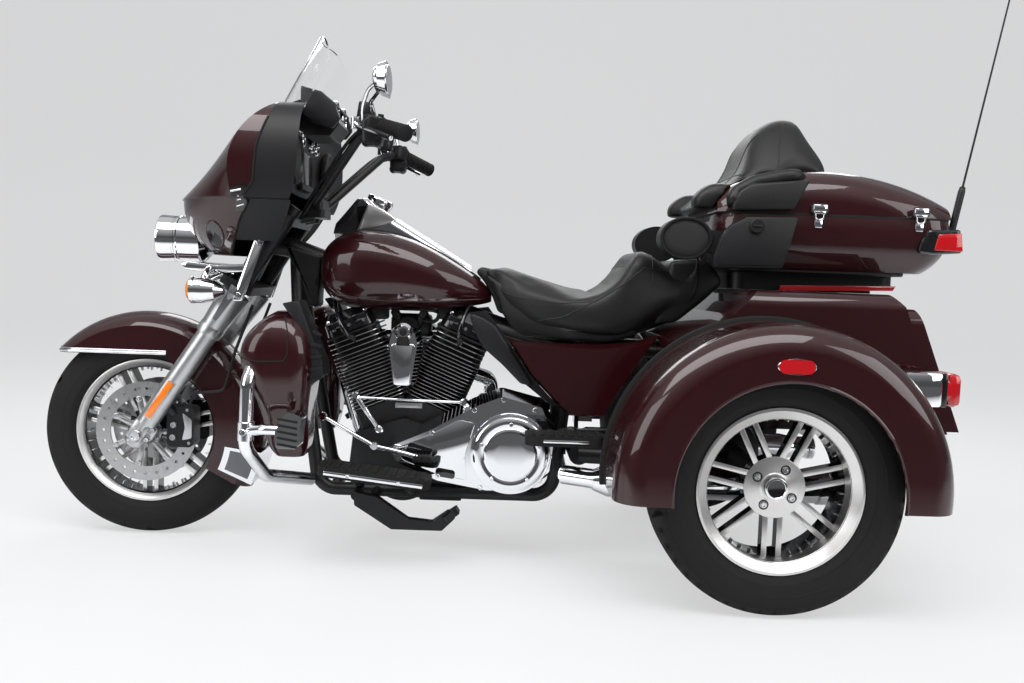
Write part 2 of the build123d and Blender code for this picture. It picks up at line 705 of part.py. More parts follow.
FENDER_LOW = 280.0
with BuildPart() as fender_block:
    add(arch(FENDER_R, FENDER_LOW, -FENDER_IN, FENDER_OUT - FENDER_IN))
    crown = fender_block.faces().filter_by(GeomType.CYLINDER).edges().filter_by(GeomType.CIRCLE)
    fillet(crown.group_by(Axis.Y)[0], 70)
    mirror(about=Plane.XZ)
with BuildPart() as rear_fenders:
    add(fender_block.part)
    split(bisect_by=Plane.XZ, keep=Keep.TOP)
    add(arch(FENDER_R - FENDER_WALL, FENDER_LOW - 60, 0, FENDER_OUT - 74), mode=Mode.SUBTRACT)
    add(arch(FENDER_R - 72, FENDER_LOW - 60, 0, FENDER_OUT - FENDER_WALL), mode=Mode.SUBTRACT)
    add(arch(LIP_R, FENDER_LOW - 60, -FENDER_IN, 400), mode=Mode.SUBTRACT)
    mirror(about=Plane.XZ)
write(rear_fenders.part, "rear_fenders")

# Trunk door with two hinge barrels along its foot
DOOR_GAP = 6.0
with BuildPart() as trunk_door:
    lean = (DOOR_HIGH[0] - DOOR_LOW[0]) / (DOOR_HIGH[1] - DOOR_LOW[1])
    foot_x = DOOR_LOW[0] + 1 + DOOR_GAP * lean
    head_x = DOOR_HIGH[0] + 1 - DOOR_GAP * lean
    add(side_panel([
        (foot_x, DOOR_LOW[1] + DOOR_GAP), (foot_x + DOOR_THICK, DOOR_LOW[1] + DOOR_GAP),
        (head_x + DOOR_THICK, DOOR_HIGH[1] - DOOR_GAP), (head_x, DOOR_HIGH[1] - DOOR_GAP),
    ], BODY_Y - DOOR_GAP, 2 * (BODY_Y - DOOR_GAP)))
    fillet(trunk_door.edges().filter_by(Axis.X).group_by(Axis.Z)[-1], SHOULDER)
    inner_half = BARREL - KNUCKLE - 1
    for y in DOOR_HINGE_Y:
        with BuildSketch(side_plane(y + inner_half)):
            with BuildLine():
                Polyline(
                    (DOOR_HINGE[0] - 14, DOOR_LOW[1] + DOOR_GAP), DOOR_HINGE,
                    (DOOR_HINGE[0] + KNUCKLE_R, DOOR_HINGE[1]), (DOOR_HINGE[0] - 16, DOOR_LOW[1] + 50),
                    close=True,
                )
            make_face()
            with Locations(DOOR_HINGE):
                Circle(KNUCKLE_R)
        extrude(amount=2 * inner_half)
        add(tube([(DOOR_HINGE[0], y - BARREL, DOOR_HINGE[1]), (DOOR_HINGE[0], y + BARREL, DOOR_HINGE[1])],
                 PIN_R + RUN_FIT), mode=Mode.SUBTRACT)
write(trunk_door.part, "trunk_door")

# Number plate holder under the door
with BuildPart() as plate_holder:
    with BuildSketch(cross_plane(DOOR_LOW[0] - 60)):
        with Locations((0, 330)):
            Rectangle(200, 120)
    extrude(amount=8)
    with BuildSketch(cross_plane(DOOR_LOW[0] - 52)):
        with Locations((0, 330)):
            with GridLocations(146, 70, 2, 2):
                Circle(3.5)
    extrude(amount=-8, mode=Mode.SUBTRACT)
    with BuildSketch(side_plane(30)):
        with BuildLine():
            Polyline(
                (DOOR_LOW[0] - 60, 360), (DOOR_LOW[0] - 60, 388), (DOOR_LOW[0] - 90, BODY_FLOOR - GAP),
                (DOOR_LOW[0] - 150, BODY_FLOOR - GAP), close=True,
            )
        make_face()
    extrude(amount=60)
write(plate_holder.part, "plate_holder")

# Top case: rack, hollow tub, lid, backrest and latches
CASE_SPLIT = 994.0
CASE_LOW = 846.0
CASE_FRONT = aft(-100)
CASE_REAR = aft(548)
CASE_HALF = 268.0
with BuildPart() as case_rack:
    with BuildSketch(Plane.XY.offset(BODY_TOP + GAP)):
        with Locations((aft(200), 0)):
            RectangleRounded(470, 300, 40)
        with Locations((aft(200), 0)):
            RectangleRounded(380, 210, 20, mode=Mode.SUBTRACT)
    extrude(amount=CASE_LOW - BODY_TOP - 2 * GAP)
    with BuildSketch(cross_plane(aft(364))):
        with Locations((0, BODY_TOP)):
            Rectangle(400, 40)
    extrude(amount=100, mode=Mode.SUBTRACT)
write(case_rack.part, "case_rack")

TUB_ROWS = [
    (CASE_LOW, CASE_FRONT + 40, CASE_REAR - 60, 0, CASE_HALF - 38, 60),
    (CASE_LOW + 40, CASE_FRONT + 8, CASE_REAR - 20, 0, CASE_HALF - 10, 70),
    (CASE_SPLIT, CASE_FRONT, CASE_REAR, 0, CASE_HALF, 80),
]
HINGE = (CASE_HALF + 17, CASE_SPLIT + 2)
HINGE_PIN_R = 4.0
HINGES = (aft(230), aft(430))
with BuildPart() as top_case_tub:
    for x in HINGES:
        add(tube([(x - 34, *HINGE), (x + 34, *HINGE)], HINGE_PIN_R))
        for end in (x - 34, x + 18):
            add(tube([(end, *HINGE), (end + 16, *HINGE)], 9))
            with BuildSketch(Plane.XY.offset(CASE_SPLIT - 50)):
                with Locations((end + 8, HINGE[0] - 12)):
                    Rectangle(16, 36)
            extrude(amount=36)
            with BuildSketch(Plane.XY.offset(CASE_SPLIT - 20)):
                with Locations((end + 8, HINGE[0])):
                    Rectangle(16, 12)
            extrude(amount=22)
    add(sections_z(TUB_ROWS))
    add(sections_z([
        (CASE_LOW + 5, CASE_FRONT + 46, CASE_REAR - 66, 0, CASE_HALF - 44, 54),
        (CASE_LOW + 40, CASE_FRONT + 14, CASE_REAR - 26, 0, CASE_HALF - 16, 64),
        (CASE_SPLIT + 1, CASE_FRONT + 6, CASE_REAR - 6, 0, CASE_HALF - 6, 74),
    ]), mode=Mode.SUBTRACT)
write(top_case_tub.part, "top_case_tub")

LID_FLOOR = CASE_SPLIT - 120.0
LID_ROWS = [
    (CASE_FRONT, 0, CASE_HALF - 34, LID_FLOOR, CASE_SPLIT + 54, 60),
    (aft(-50), 0, CASE_HALF - 8, LID_FLOOR, CASE_SPLIT + 82, 72),
    (aft(120), 0, CASE_HALF, LID_FLOOR, CASE_SPLIT + 122, 84),
    (aft(260), 0, CASE_HALF, LID_FLOOR, CASE_SPLIT + 122, 88),
    (aft(440), 0, CASE_HALF - 4, LID_FLOOR, CASE_SPLIT + 84, 86),
    (CASE_REAR, 0, CASE_HALF - 40, LID_FLOOR, CASE_SPLIT + 40, 60),
]


def lid_block(by):
    # The lid drawn in by a wall and cut level at the split
    rows = []
    for k, (x, y, half, low, high, corner) in enumerate(LID_ROWS):
        lift = by if k == 0 else (-by if k == len(LID_ROWS) - 1 else 0)
        rows.append((x + lift, y, half - by, low + by, high - by, corner - by))
    with BuildPart() as block:
        add(sections_x(rows))
        split(bisect_by=Plane.XY.offset(CASE_SPLIT + 2), keep=Keep.TOP)
    return block.part


with BuildPart() as top_case_lid:
    for x in HINGES:
        add(tube([(x - 15, *HINGE), (x + 15, *HINGE)], 9))
        with BuildSketch(Plane.XY.offset(HINGE[1])):
            with Locations((x, HINGE[0] - 13)):
                Rectangle(30, 26)
        extrude(amount=9)
    add(lid_block(0.0))
    add(lid_block(WALL), mode=Mode.SUBTRACT)
    for x in HINGES:
        add(tube([(x - 20, *HINGE), (x + 20, *HINGE)], HINGE_PIN_R + RUN_FIT), mode=Mode.SUBTRACT)
write(top_case_lid.part, "top_case_lid")

# Backrest: tall pad on the lid, wings that reach forward and arm pads along the sides
WING_Y = 190.0
ARM_IN, ARM_OUT = 222.0, 286.0
with BuildPart() as backrest:
    add(sections_z([
        (CASE_SPLIT + 2, aft(-106), aft(60), 0, 190, 30),
        (1060, aft(-92), aft(196), 0, 206, 44),
        (1124, aft(-26), aft(238), 0, 186, 60),
        (1200, aft(0), aft(204), 0, 142, 64),
        (1254, aft(38), aft(176), 0, 100, 50),
        (1288, aft(96), aft(150), 0, 50, 20),
    ]))
    for side in (-1, 1):
        add(sections_z([
            (CASE_SPLIT + 2, aft(-168), aft(-80), side * WING_Y, 40, 28),
            (1036, aft(-170), aft(-60), side * WING_Y, 44, 32),
            (1082, aft(-116), aft(-50), side * WING_Y, 30, 22),
        ]))
        add(side_panel([
            (aft(-70), CASE_SPLIT + 4), (aft(-66), 1030), (aft(-38), 1068), (aft(128), 1086),
            (aft(104), CASE_SPLIT + 4),
        ], ARM_OUT if side > 0 else -ARM_IN, ARM_OUT - ARM_IN, 14))
    add(lid_block(0.0), mode=Mode.SUBTRACT)
write(backrest.part, "backrest")

with BuildPart() as case_latches:
    for x in (aft(165), aft(439)):
        with BuildSketch(side_plane(-CASE_HALF + 24)):
            with Locations((x, CASE_SPLIT + 16)):
                RectangleRounded(46, 26, 8)
        extrude(amount=38)
    add(lid_block(0), mode=Mode.SUBTRACT)
write(case_latches.part, "case_latches")

# Speaker pods beside the pillion
POD = (aft(-189), 918.0)
POD_IN, POD_OUT = 206.0, 272.0
BOX_OUT = 298.0
with BuildPart() as speaker_pods:
    with BuildSketch(side_plane(-POD_IN)):
        with Locations(POD):
            Ellipse(71, 57)
        with Locations((aft(-100), 912)):
            Rectangle(120, 60)
    extrude(amount=POD_OUT - POD_IN)
    add(side_panel([
        (aft(-116), 880), (aft(-65), 976), (aft(106), CASE_SPLIT - 10), (aft(93), 936), (aft(66), CASE_LOW),
        (aft(-110), CASE_LOW),
    ], -POD_IN, BOX_OUT - POD_IN, 10, 6))
    mirror(about=Plane.XZ)
    add(sections_z(TUB_ROWS), mode=Mode.SUBTRACT)
write(speaker_pods.part, "speaker_pods")

# Red lamps and reflectors: fender tail lamps, side markers, top case lamps
with BuildPart() as red_lamps:
    for side in (-1, 1):
        with BuildSketch(cross_plane(aft(300))):
            with Locations((side * 530, 562)):
                RectangleRounded(110, 78, 30)
        extrude(amount=118)
    with BuildSketch(side_plane(-FENDER_OUT + 20)):
        with Locations((aft(-3), 615)):
            SlotOverall(84, 32)
    extrude(amount=24)
    with BuildSketch(side_plane(FENDER_OUT + 4)):
        with Locations((aft(-3), 615)):
            SlotOverall(84, 32)
    extrude(amount=24)
    add(fender_block.part, mode=Mode.SUBTRACT)
    for side in (-1, 1):
        with BuildSketch(cross_plane(CASE_REAR - 86)):
            with Locations((side * 184, 938)):
                RectangleRounded(132, 62, 16)
        extrude(amount=100)
    add(sections_z(TUB_ROWS), mode=Mode.SUBTRACT)
write(red_lamps.part, "red_lamps")

# Antenna at the left rear corner of the top case
ANTENNA_FOOT = (CASE_REAR + 14, -200, CASE_SPLIT - 27)
ANTENNA_LEAN = (0.184, 0, 1)
with BuildPart() as antenna:
    add(spun(ANTENNA_FOOT, ANTENNA_LEAN, [
        (0, 8), (124, 8), (128, 3), (776, 2.2), (776, 5), (786, 5), (786, 0.5),
    ]))
    with BuildSketch(cross_plane(CASE_REAR - 20)):
        with Locations((ANTENNA_FOOT[1], ANTENNA_FOOT[2] + 4)):
            Rectangle(14, 16)
    extrude(amount=30)
    add(sections_z(TUB_ROWS), mode=Mode.SUBTRACT)
    add(red_lamps.part, mode=Mode.SUBTRACT)
write(antenna.part, "antenna")

# Fork: clamps on a stem, legs with the front axle, upper covers
CLAMP_LOW_Z = NECK_LOW - 36.0
CLAMP_HIGH_Z = NECK_HIGH + 12.0
LEG_R = 30.0
TUBE_R = 24.5
with BuildPart() as fork_clamps:
    stem = (steer_x(CLAMP_LOW_Z), 0, CLAMP_LOW_Z)
    add(spun(stem, tuple(STEER_DIR), [
        (0, STEM_R + 6), (30, STEM_R + 6), (30, STEM_R), (240, STEM_R),
    ]))
    for z in (CLAMP_LOW_Z, CLAMP_HIGH_Z):
        x = (steer_x(z) + fork_x(z)) / 2
        with BuildSketch(Plane(origin=(x, 0, z), x_dir=(STEER_DIR.Z, 0, -STEER_DIR.X), z_dir=STEER_DIR)):
            RectangleRounded(96, 2 * FORK_Y + 76, 30)
        extrude(amount=26)
    for side in (-1, 1):
        leg = (fork_x(CLAMP_LOW_Z - 40), side * FORK_Y, CLAMP_LOW_Z - 40)
        add(spun(leg, tuple(FORK_DIR), [(0, TUBE_R), (330, TUBE_R)]))
        add(tube([(fwd(400), side * 36, 938), (fwd(470), side * 36, 952)], 15))
    with BuildSketch(Plane.XY.offset(948)):
        with Locations((fwd(474), 0)):
            RectangleRounded(60, 120, 14)
    extrude(amount=24)
write(fork_clamps.part, "fork_clamps")

with BuildPart() as fork_legs:
    for side in (-1, 1):
        foot = (fork_x(FRONT_RADIUS - 30), side * FORK_Y, FRONT_RADIUS - 30)
        length = (612 - FRONT_RADIUS + 30) / FORK_DIR.Z
        add(spun(foot, tuple(FORK_DIR), [(0, 24), (8, LEG_R), (length, LEG_R)]))
    add(spun((fwd(0), -FORK_Y - 32, FRONT_RADIUS), (0, 1, 0), [
        (0, 20), (14, 20), (14, FRONT_AXLE_R), (2 * FORK_Y + 50, FRONT_AXLE_R), (2 * FORK_Y + 50, 20),
        (2 * FORK_Y + 64, 20),
    ]))
write(fork_legs.part, "fork_legs")

with BuildPart() as fork_covers:
    for side in (-1, 1):
        foot = (fork_x(612) + GAP * FORK_DIR.X, side * FORK_Y, 612 + GAP * FORK_DIR.Z)
        length = (NECK_LOW - 36 - 14 - 612) / FORK_DIR.Z
        add(spun(foot, tuple(FORK_DIR), [(0, LEG_R + 4), (length, LEG_R + 13)]))
    add(fork_clamps.part, mode=Mode.SUBTRACT)
write(fork_covers.part, "fork_covers")

# Front fender: a deep U swept about a centre near the axle, cut level ahead of the fork
FENDER_C = (fwd(-12), 0, FRONT_RADIUS)
FF_R = 350.0
FF_HALF = 80.0
FF_WALL = 3.0
FF_DEPTH = 134.0
FF_LEVEL = 533.0
with BuildPart() as front_fender:
    with BuildSketch(axle_plane(*FENDER_C, turn=137)):
        with BuildLine():
            Line((-FF_HALF, FF_R - FF_DEPTH), (-FF_HALF, FF_R - 40))
            ThreePointArc((-FF_HALF, FF_R - 40), (0, FF_R), (FF_HALF, FF_R - 40))
            Line((FF_HALF, FF_R - 40), (FF_HALF, FF_R - FF_DEPTH))
            Line((FF_HALF, FF_R - FF_DEPTH), (FF_HALF - FF_WALL, FF_R - FF_DEPTH))
            Line((FF_HALF - FF_WALL, FF_R - FF_DEPTH), (FF_HALF - FF_WALL, FF_R - 42))
            ThreePointArc((FF_HALF - FF_WALL, FF_R - 42), (0, FF_R - FF_WALL), (FF_WALL - FF_HALF, FF_R - 42))
            Line((FF_WALL - FF_HALF, FF_R - 42), (FF_WALL - FF_HALF, FF_R - FF_DEPTH))
            Line((FF_WALL - FF_HALF, FF_R - FF_DEPTH), (-FF_HALF, FF_R - FF_DEPTH))
        make_face()
    revolve(axis=Axis(FENDER_C, (0, 1, 0)), revolution_arc=165)
    with BuildSketch(side_plane(100)):
        with BuildLine():
            Polyline(
                (fwd(-420), FF_LEVEL), (fwd(60), FF_LEVEL), (fwd(110), FF_LEVEL - 60), (fwd(110), 300),
                (fwd(-420), 300), close=True,
            )
        make_face()
    extrude(amount=200, mode=Mode.SUBTRACT)
    for side in (-1, 1):
        add(tube([
            (fork_x(560), side * (FF_HALF - FF_WALL), 560), (fork_x(560), side * (FORK_Y - LEG_R + 2), 560),
        ], 12))
    add(fork_legs.part, mode=Mode.SUBTRACT)
write(front_fender.part, "front_fender")

# Mud flap trim round the rear foot of the front fender
with BuildPart() as fender_flap:
    with BuildSketch(axle_plane(*FENDER_C, turn=-8)):
        with BuildLine():
            Line((-FF_HALF - GAP, FF_R - 100), (-FF_HALF - GAP, FF_R + GAP))
            Line((-FF_HALF - GAP, FF_R + GAP), (FF_HALF + GAP, FF_R + GAP))
            Line((FF_HALF + GAP, FF_R + GAP), (FF_HALF + GAP, FF_R - 100))
            Line((FF_HALF + GAP, FF_R - 100), (FF_HALF + 6, FF_R - 100))
            Line((FF_HALF + 6, FF_R - 100), (FF_HALF + 6, FF_R + 6))
            Line((FF_HALF + 6, FF_R + 6), (-FF_HALF - 6, FF_R + 6))
            Line((-FF_HALF - 6, FF_R + 6), (-FF_HALF - 6, FF_R - 100))
            Line((-FF_HALF - 6, FF_R - 100), (-FF_HALF - GAP, FF_R - 100))
        make_face()
    revolve(axis=Axis(FENDER_C, (0, 1, 0)), revolution_arc=16)
write(fender_flap.part, "fender_flap")

# Front brakes: calipers behind the fork legs with their hoses
with BuildPart() as front_brakes:
    with BuildSketch(side_plane(-FRONT_HUB_HALF + 14)) as caliper_side:
        with Locations((fwd(112), FRONT_RADIUS + 22)):
            Rectangle(78, 118)
        fillet(caliper_side.vertices(), 16)
    extrude(amount=58)
    add(spun((fwd(0), -FRONT_HUB_HALF + 4, FRONT_RADIUS), (0, -1, 0), [(0, DISC_R + 5), (16, DISC_R + 5)]),
        mode=Mode.SUBTRACT)
    add(tube([(fwd(92), -96, FRONT_RADIUS + 60), (fork_x(400) + 10, -FORK_Y + 4, 404)], 14))
    add(tube([
        (fwd(130), -96, FRONT_RADIUS + 74), (fwd(150), -100, 430), (fwd(236), -104, 440),
        (fwd(268), -104, 560), (fork_x(700) + 60, -104, 690),
    ], 4.5, 24))
    mirror(about=Plane.XZ)
    add(fork_legs.part, mode=Mode.SUBTRACT)
    add(fork_covers.part, mode=Mode.SUBTRACT)
write(front_brakes.part, "front_brakes")

# Fairing: a narrow nose under a wide wing, split at a bent seam into the painted shell and the inner panel
WING_LOW = 980.0
# Columns: z, nose x, shoulder x, rear x, half width
NOSE_ROWS = [
    (812, fwd(205), fwd(258), fwd(332), 110),
    (880, fwd(122), fwd(282), fwd(400), 188),
    (WING_LOW, fwd(94), fwd(306), fwd(452), 266),
]
WING_ROWS = [
    (WING_LOW, fwd(94), fwd(310), fwd(462), 334),
    (1056, fwd(172), fwd(304), fwd(482), 352),
    (1130, fwd(244), fwd(320), fwd(486), 350),
    (1194, fwd(302), fwd(362), fwd(486), 322),
    (1244, fwd(346), fwd(420), fwd(486), 236),
]
DASH_DEEP = 52.0
SKIN = 6.0
SEAM = [
    (fwd(236), 700), (fwd(258), 823), (fwd(308), 926), (fwd(372), 1020), (fwd(380), 1110), (fwd(404), 1190),
    (fwd(440), 1400),
]
HEADLAMP = (fwd(16), 874.0)
HEADLAMP_R = 66.0


def prow(rows, by=0.0, foot=0.0, head=0.0):
    # Loft upward through sections with an arched front and a hollow rear, drawn in by a wall
    with BuildPart() as body:
        for k, (z, nose, shoulder, rear, half) in enumerate(rows):
            lift = foot if k == 0 else (head if k == len(rows) - 1 else 0)
            side = half - by
            corner = shoulder + by / 2
            back = rear - by
            with BuildSketch(Plane.XY.offset(z + lift)):
                with BuildLine():
                    ThreePointArc((corner, -side), (nose + by, 0), (corner, side))
                    Line((corner, side), (back, side))
                    ThreePointArc((back, side), (back - DASH_DEEP, 0), (back, -side))
                    Line((back, -side), (corner, -side))
                make_face()
        loft()
    return body.part


with BuildPart() as fairing_block:
    add(prow(NOSE_ROWS))
    add(prow(WING_ROWS))
with BuildPart() as fairing_hollow:
    add(prow(NOSE_ROWS, SKIN, SKIN, SKIN + 2))
    add(prow(WING_ROWS, SKIN, SKIN, -SKIN))
with BuildPart() as fairing_shell:
    add(fairing_block.part)
    add(fairing_hollow.part, mode=Mode.SUBTRACT)
FRONT_OF_SEAM = [*SEAM, (fwd(-200), 1400), (fwd(-200), 700)]
REAR_OF_SEAM = [*SEAM, (fwd(900), 1400), (fwd(900), 700)]
with BuildPart() as fairing_outer:
    add(fairing_shell.part)
    add(side_panel(REAR_OF_SEAM, 500, 1000), mode=Mode.SUBTRACT)
    with BuildSketch(Plane.XY.offset(700)):
        with Locations((fwd(300), 0)):
            Rectangle(260, 330)
    extrude(amount=130, mode=Mode.SUBTRACT)
    add(spun((HEADLAMP[0] - 40, 0, HEADLAMP[1]), (1, 0, 0), [(0, HEADLAMP_R + GAP), (190, HEADLAMP_R + GAP)]),
        mode=Mode.SUBTRACT)
write(fairing_outer.part, "fairing_outer")

# Inner panel with its instrument hood and the brackets that hold the fairing on the fork tubes
DASH_LOW = 1010.0
BRACKET_Z = 884.0
HOOD_HALF = 88.0
with BuildPart() as fairing_brackets:
    bracket_x = fork_x(BRACKET_Z)
    for side in (-1, 1):
        add(tube([(bracket_x, side * FORK_Y, BRACKET_Z), (bracket_x, side * 260, BRACKET_Z)], 9))
    add(fairing_block.part, mode=Mode.INTERSECT)
with BuildPart() as fairing_inner:
    add(fairing_shell.part)
    with BuildSketch(Plane.XY.offset(700)):
        with Locations((fwd(395), 0)):
            Rectangle(350, 360)
    extrude(amount=DASH_LOW - 700, mode=Mode.SUBTRACT)
    add(side_panel([
        (fwd(424), 1218), (fwd(440), 1310), (fwd(498), 1302), (fwd(546), 1216), (fwd(520), 1180),
        (fwd(440), 1180),
    ], HOOD_HALF, 2 * HOOD_HALF, 8))
    seam_behind = [(x + GAP, z) for x, z in SEAM]
    add(side_panel([*seam_behind, *FRONT_OF_SEAM[len(SEAM):]], 500, 1000), mode=Mode.SUBTRACT)
    add(fairing_brackets.part)
    add(fork_clamps.part, mode=Mode.SUBTRACT)
write(fairing_inner.part, "fairing_inner")

# Windshield: a bent clear sheet leaning back from the top of the fairing
SHIELD_FOOT = (fwd(342), 1215.0)
SHIELD_TOP = (fwd(470), 1458.0)
SHIELD_HALF = 188.0
SHIELD_BOW = 112.0
SHIELD_THICK = 5.0
with BuildPart() as windshield:
    edge = SHIELD_FOOT[0] + SHIELD_BOW
    with BuildSketch(Plane.XY.offset(SHIELD_FOOT[1])):
        with BuildLine():
            ThreePointArc((edge, -SHIELD_HALF), (SHIELD_FOOT[0], 0), (edge, SHIELD_HALF))
            Line((edge, SHIELD_HALF), (edge + SHIELD_THICK, SHIELD_HALF))
            ThreePointArc(
                (edge + SHIELD_THICK, SHIELD_HALF), (SHIELD_FOOT[0] + SHIELD_THICK, 0),
                (edge + SHIELD_THICK, -SHIELD_HALF),
            )
            Line((edge + SHIELD_THICK, -SHIELD_HALF), (edge, -SHIELD_HALF))
        make_face()
    extrude(amount=285, dir=(SHIELD_TOP[0] - SHIELD_FOOT[0], 0, SHIELD_TOP[1] - SHIELD_FOOT[1]))
    with BuildSketch(cross_plane(fwd(200))):
        with Locations((0, (SHIELD_FOOT[1] - 200 + SHIELD_TOP[1]) / 2)):
            RectangleRounded(2 * SHIELD_HALF - 6, SHIELD_TOP[1] - SHIELD_FOOT[1] + 200, 116)
    extrude(amount=600, mode=Mode.INTERSECT)
    add(fairing_block.part, mode=Mode.SUBTRACT)
write(windshield.part, "windshield")

# Headlamp
write(spun((HEADLAMP[0] + 14 + GAP, 0, HEADLAMP[1]), (1, 0, 0), [
    (0, HEADLAMP_R - 6), (6, HEADLAMP_R), (112, HEADLAMP_R), (128, HEADLAMP_R - 16), (134, 30), (134, 0.5),
]), "headlamp")
write(spun((HEADLAMP[0], 0, HEADLAMP[1]), (1, 0, 0), [
    (0, 28), (5, HEADLAMP_R - 20), (10, HEADLAMP_R - 11), (14, HEADLAMP_R - 8),
]), "headlamp_lens")

# Light bar and turn signals
SIGNAL = (fwd(178), -212, 730)
with BuildPart() as signal_lamps:
    add(spun(SIGNAL, (1, 0, 0), [(0, 36), (30, 36), (62, 28), (84, 12), (84, 0.5)]))
    add(tube([
        (SIGNAL[0] + 30, SIGNAL[1], SIGNAL[2] + 20), (SIGNAL[0] + 34, SIGNAL[1], 776), (fwd(204), -150, 790),
        (fwd(204), 0, 790),
    ], 11, 20))
    with BuildSketch(Plane.XY.offset(774)):
        with Locations((fwd(224), -92)):
            Rectangle(70, 30)
    extrude(amount=12)
    mirror(about=Plane.XZ)
    add(fork_clamps.part, mode=Mode.SUBTRACT)
    add(fork_covers.part, mode=Mode.SUBTRACT)
    add(fairing_outer.part, mode=Mode.SUBTRACT)
write(signal_lamps.part, "signal_lamps")
with BuildPart() as signal_lenses:
    add(spun((SIGNAL[0] - GAP, SIGNAL[1], SIGNAL[2]), (-1, 0, 0), [(0, 34), (6, 34), (14, 24), (16, 0.5)]))
    mirror(about=Plane.XZ)
write(signal_lenses.part, "signal_lenses")

# Handlebar, grips and mirrors
BAR_R = 13.0
GRIP_START = (fwd(690), -318, 1178)
GRIP_END = (fwd(771), -412, 1147)
BAR_PATH = [
    (fwd(474), 0, 986), (fwd(482), -84, 988), (fwd(628), -236, 1160), (fwd(676), -302, 1183), GRIP_START,
]
with BuildPart() as handlebar:
    with BuildSketch(Plane.XY.offset(972 + GAP)):
        with Locations((fwd(474), 0)):
            RectangleRounded(48, 118, 12)
    extrude(amount=30)
    add(tube(BAR_PATH[:4], BAR_R, 34))
    add(tube(flip(BAR_PATH[:4]), BAR_R, 34))
    for side in (-1, 1):
        start = Vector(GRIP_START[0], side * abs(GRIP_START[1]), GRIP_START[2])
        end = Vector(GRIP_END[0], side * abs(GRIP_END[1]), GRIP_END[2])
        way = (end - start).normalized()
        add(tube([(fwd(668), side * 292, 1182), tuple(start - way * 20)], BAR_R))
        add(spun(tuple(start - way * 46), tuple(way), [(0, 22), (46 - GAP, 22)]))
        lever = start - way * 26 + Vector(-44, 0, -6)
        add(tube([tuple(start - way * 26), tuple(lever), tuple(lever + way * 60),
                  tuple(lever + way * 168 + Vector(-6, 0, -4))], 7, 12))
write(handlebar.part, "handlebar")

with BuildPart() as grips:
    span = Vector(*GRIP_END) - Vector(*GRIP_START)
    add(spun(GRIP_START, tuple(span), [(0, 20), (span.length - 8, 20), (span.length, 15)]))
    mirror(about=Plane.XZ)
write(grips.part, "grips")

MIRROR = (fwd(722), -420, 1276)
with BuildPart() as mirrors:
    start = Vector(*GRIP_START) - span.normalized() * 26
    add(tube([
        tuple(start + Vector(0, 0, 22 + GAP)), tuple(start + Vector(-8, -20, 54)),
        (MIRROR[0] - 4, MIRROR[1] + 10, MIRROR[2]),
    ], 6, 16))
    with BuildSketch(cross_plane(MIRROR[0])):
        with Locations((MIRROR[1], MIRROR[2])):
            SlotOverall(150, 78)
    extrude(amount=-20, taper=20)
    mirror(about=Plane.XZ)
    add(handlebar.part, mode=Mode.SUBTRACT)
write(mirrors.part, "mirrors")
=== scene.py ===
# %% [markdown]
# A touring trike, dressed in Blender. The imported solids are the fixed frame, and this script adds the
# finishes and the small forms that a solid model leaves out: tread, seams, screws, lenses, grilles and
# stitching. Every place is in metres in the same frame as the solids: X to the rear, Y to the rider's
# right, Z up.

# %% Load the frame
import math

import bmesh
import bpy
import numpy as np
from mathutils import Matrix, Vector
from mathutils.bvhtree import BVHTree
from mathutils.kdtree import KDTree


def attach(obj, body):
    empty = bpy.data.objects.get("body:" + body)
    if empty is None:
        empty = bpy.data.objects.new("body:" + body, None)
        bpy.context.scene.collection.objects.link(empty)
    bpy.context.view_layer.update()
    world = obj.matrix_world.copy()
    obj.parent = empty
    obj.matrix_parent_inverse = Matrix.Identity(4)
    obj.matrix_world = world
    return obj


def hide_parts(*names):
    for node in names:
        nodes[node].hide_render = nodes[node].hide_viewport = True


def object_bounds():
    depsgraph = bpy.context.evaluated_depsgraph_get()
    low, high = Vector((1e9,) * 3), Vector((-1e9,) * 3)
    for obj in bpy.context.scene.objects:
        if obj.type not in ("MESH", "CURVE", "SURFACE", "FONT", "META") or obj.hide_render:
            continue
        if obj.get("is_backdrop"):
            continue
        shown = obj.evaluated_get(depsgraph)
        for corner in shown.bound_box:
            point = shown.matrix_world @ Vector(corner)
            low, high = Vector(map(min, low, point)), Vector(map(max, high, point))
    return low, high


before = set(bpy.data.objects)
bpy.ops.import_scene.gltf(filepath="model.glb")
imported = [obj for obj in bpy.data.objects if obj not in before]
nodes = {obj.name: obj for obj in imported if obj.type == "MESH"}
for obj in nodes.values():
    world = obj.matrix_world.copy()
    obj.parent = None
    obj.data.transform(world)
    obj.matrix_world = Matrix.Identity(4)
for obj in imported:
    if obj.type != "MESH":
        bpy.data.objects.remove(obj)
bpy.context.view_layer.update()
FRONT_X = -1.0536
WHEELBASE = 1.706
REAR_X = FRONT_X + WHEELBASE
AXLE_Z = 0.308

# %% [markdown]
# The camera stands where the photographer stood, at the left side and at the height of the tank. Its
# place was fitted to the wheel rims. The lens is plain, with no shift and no depth of field.

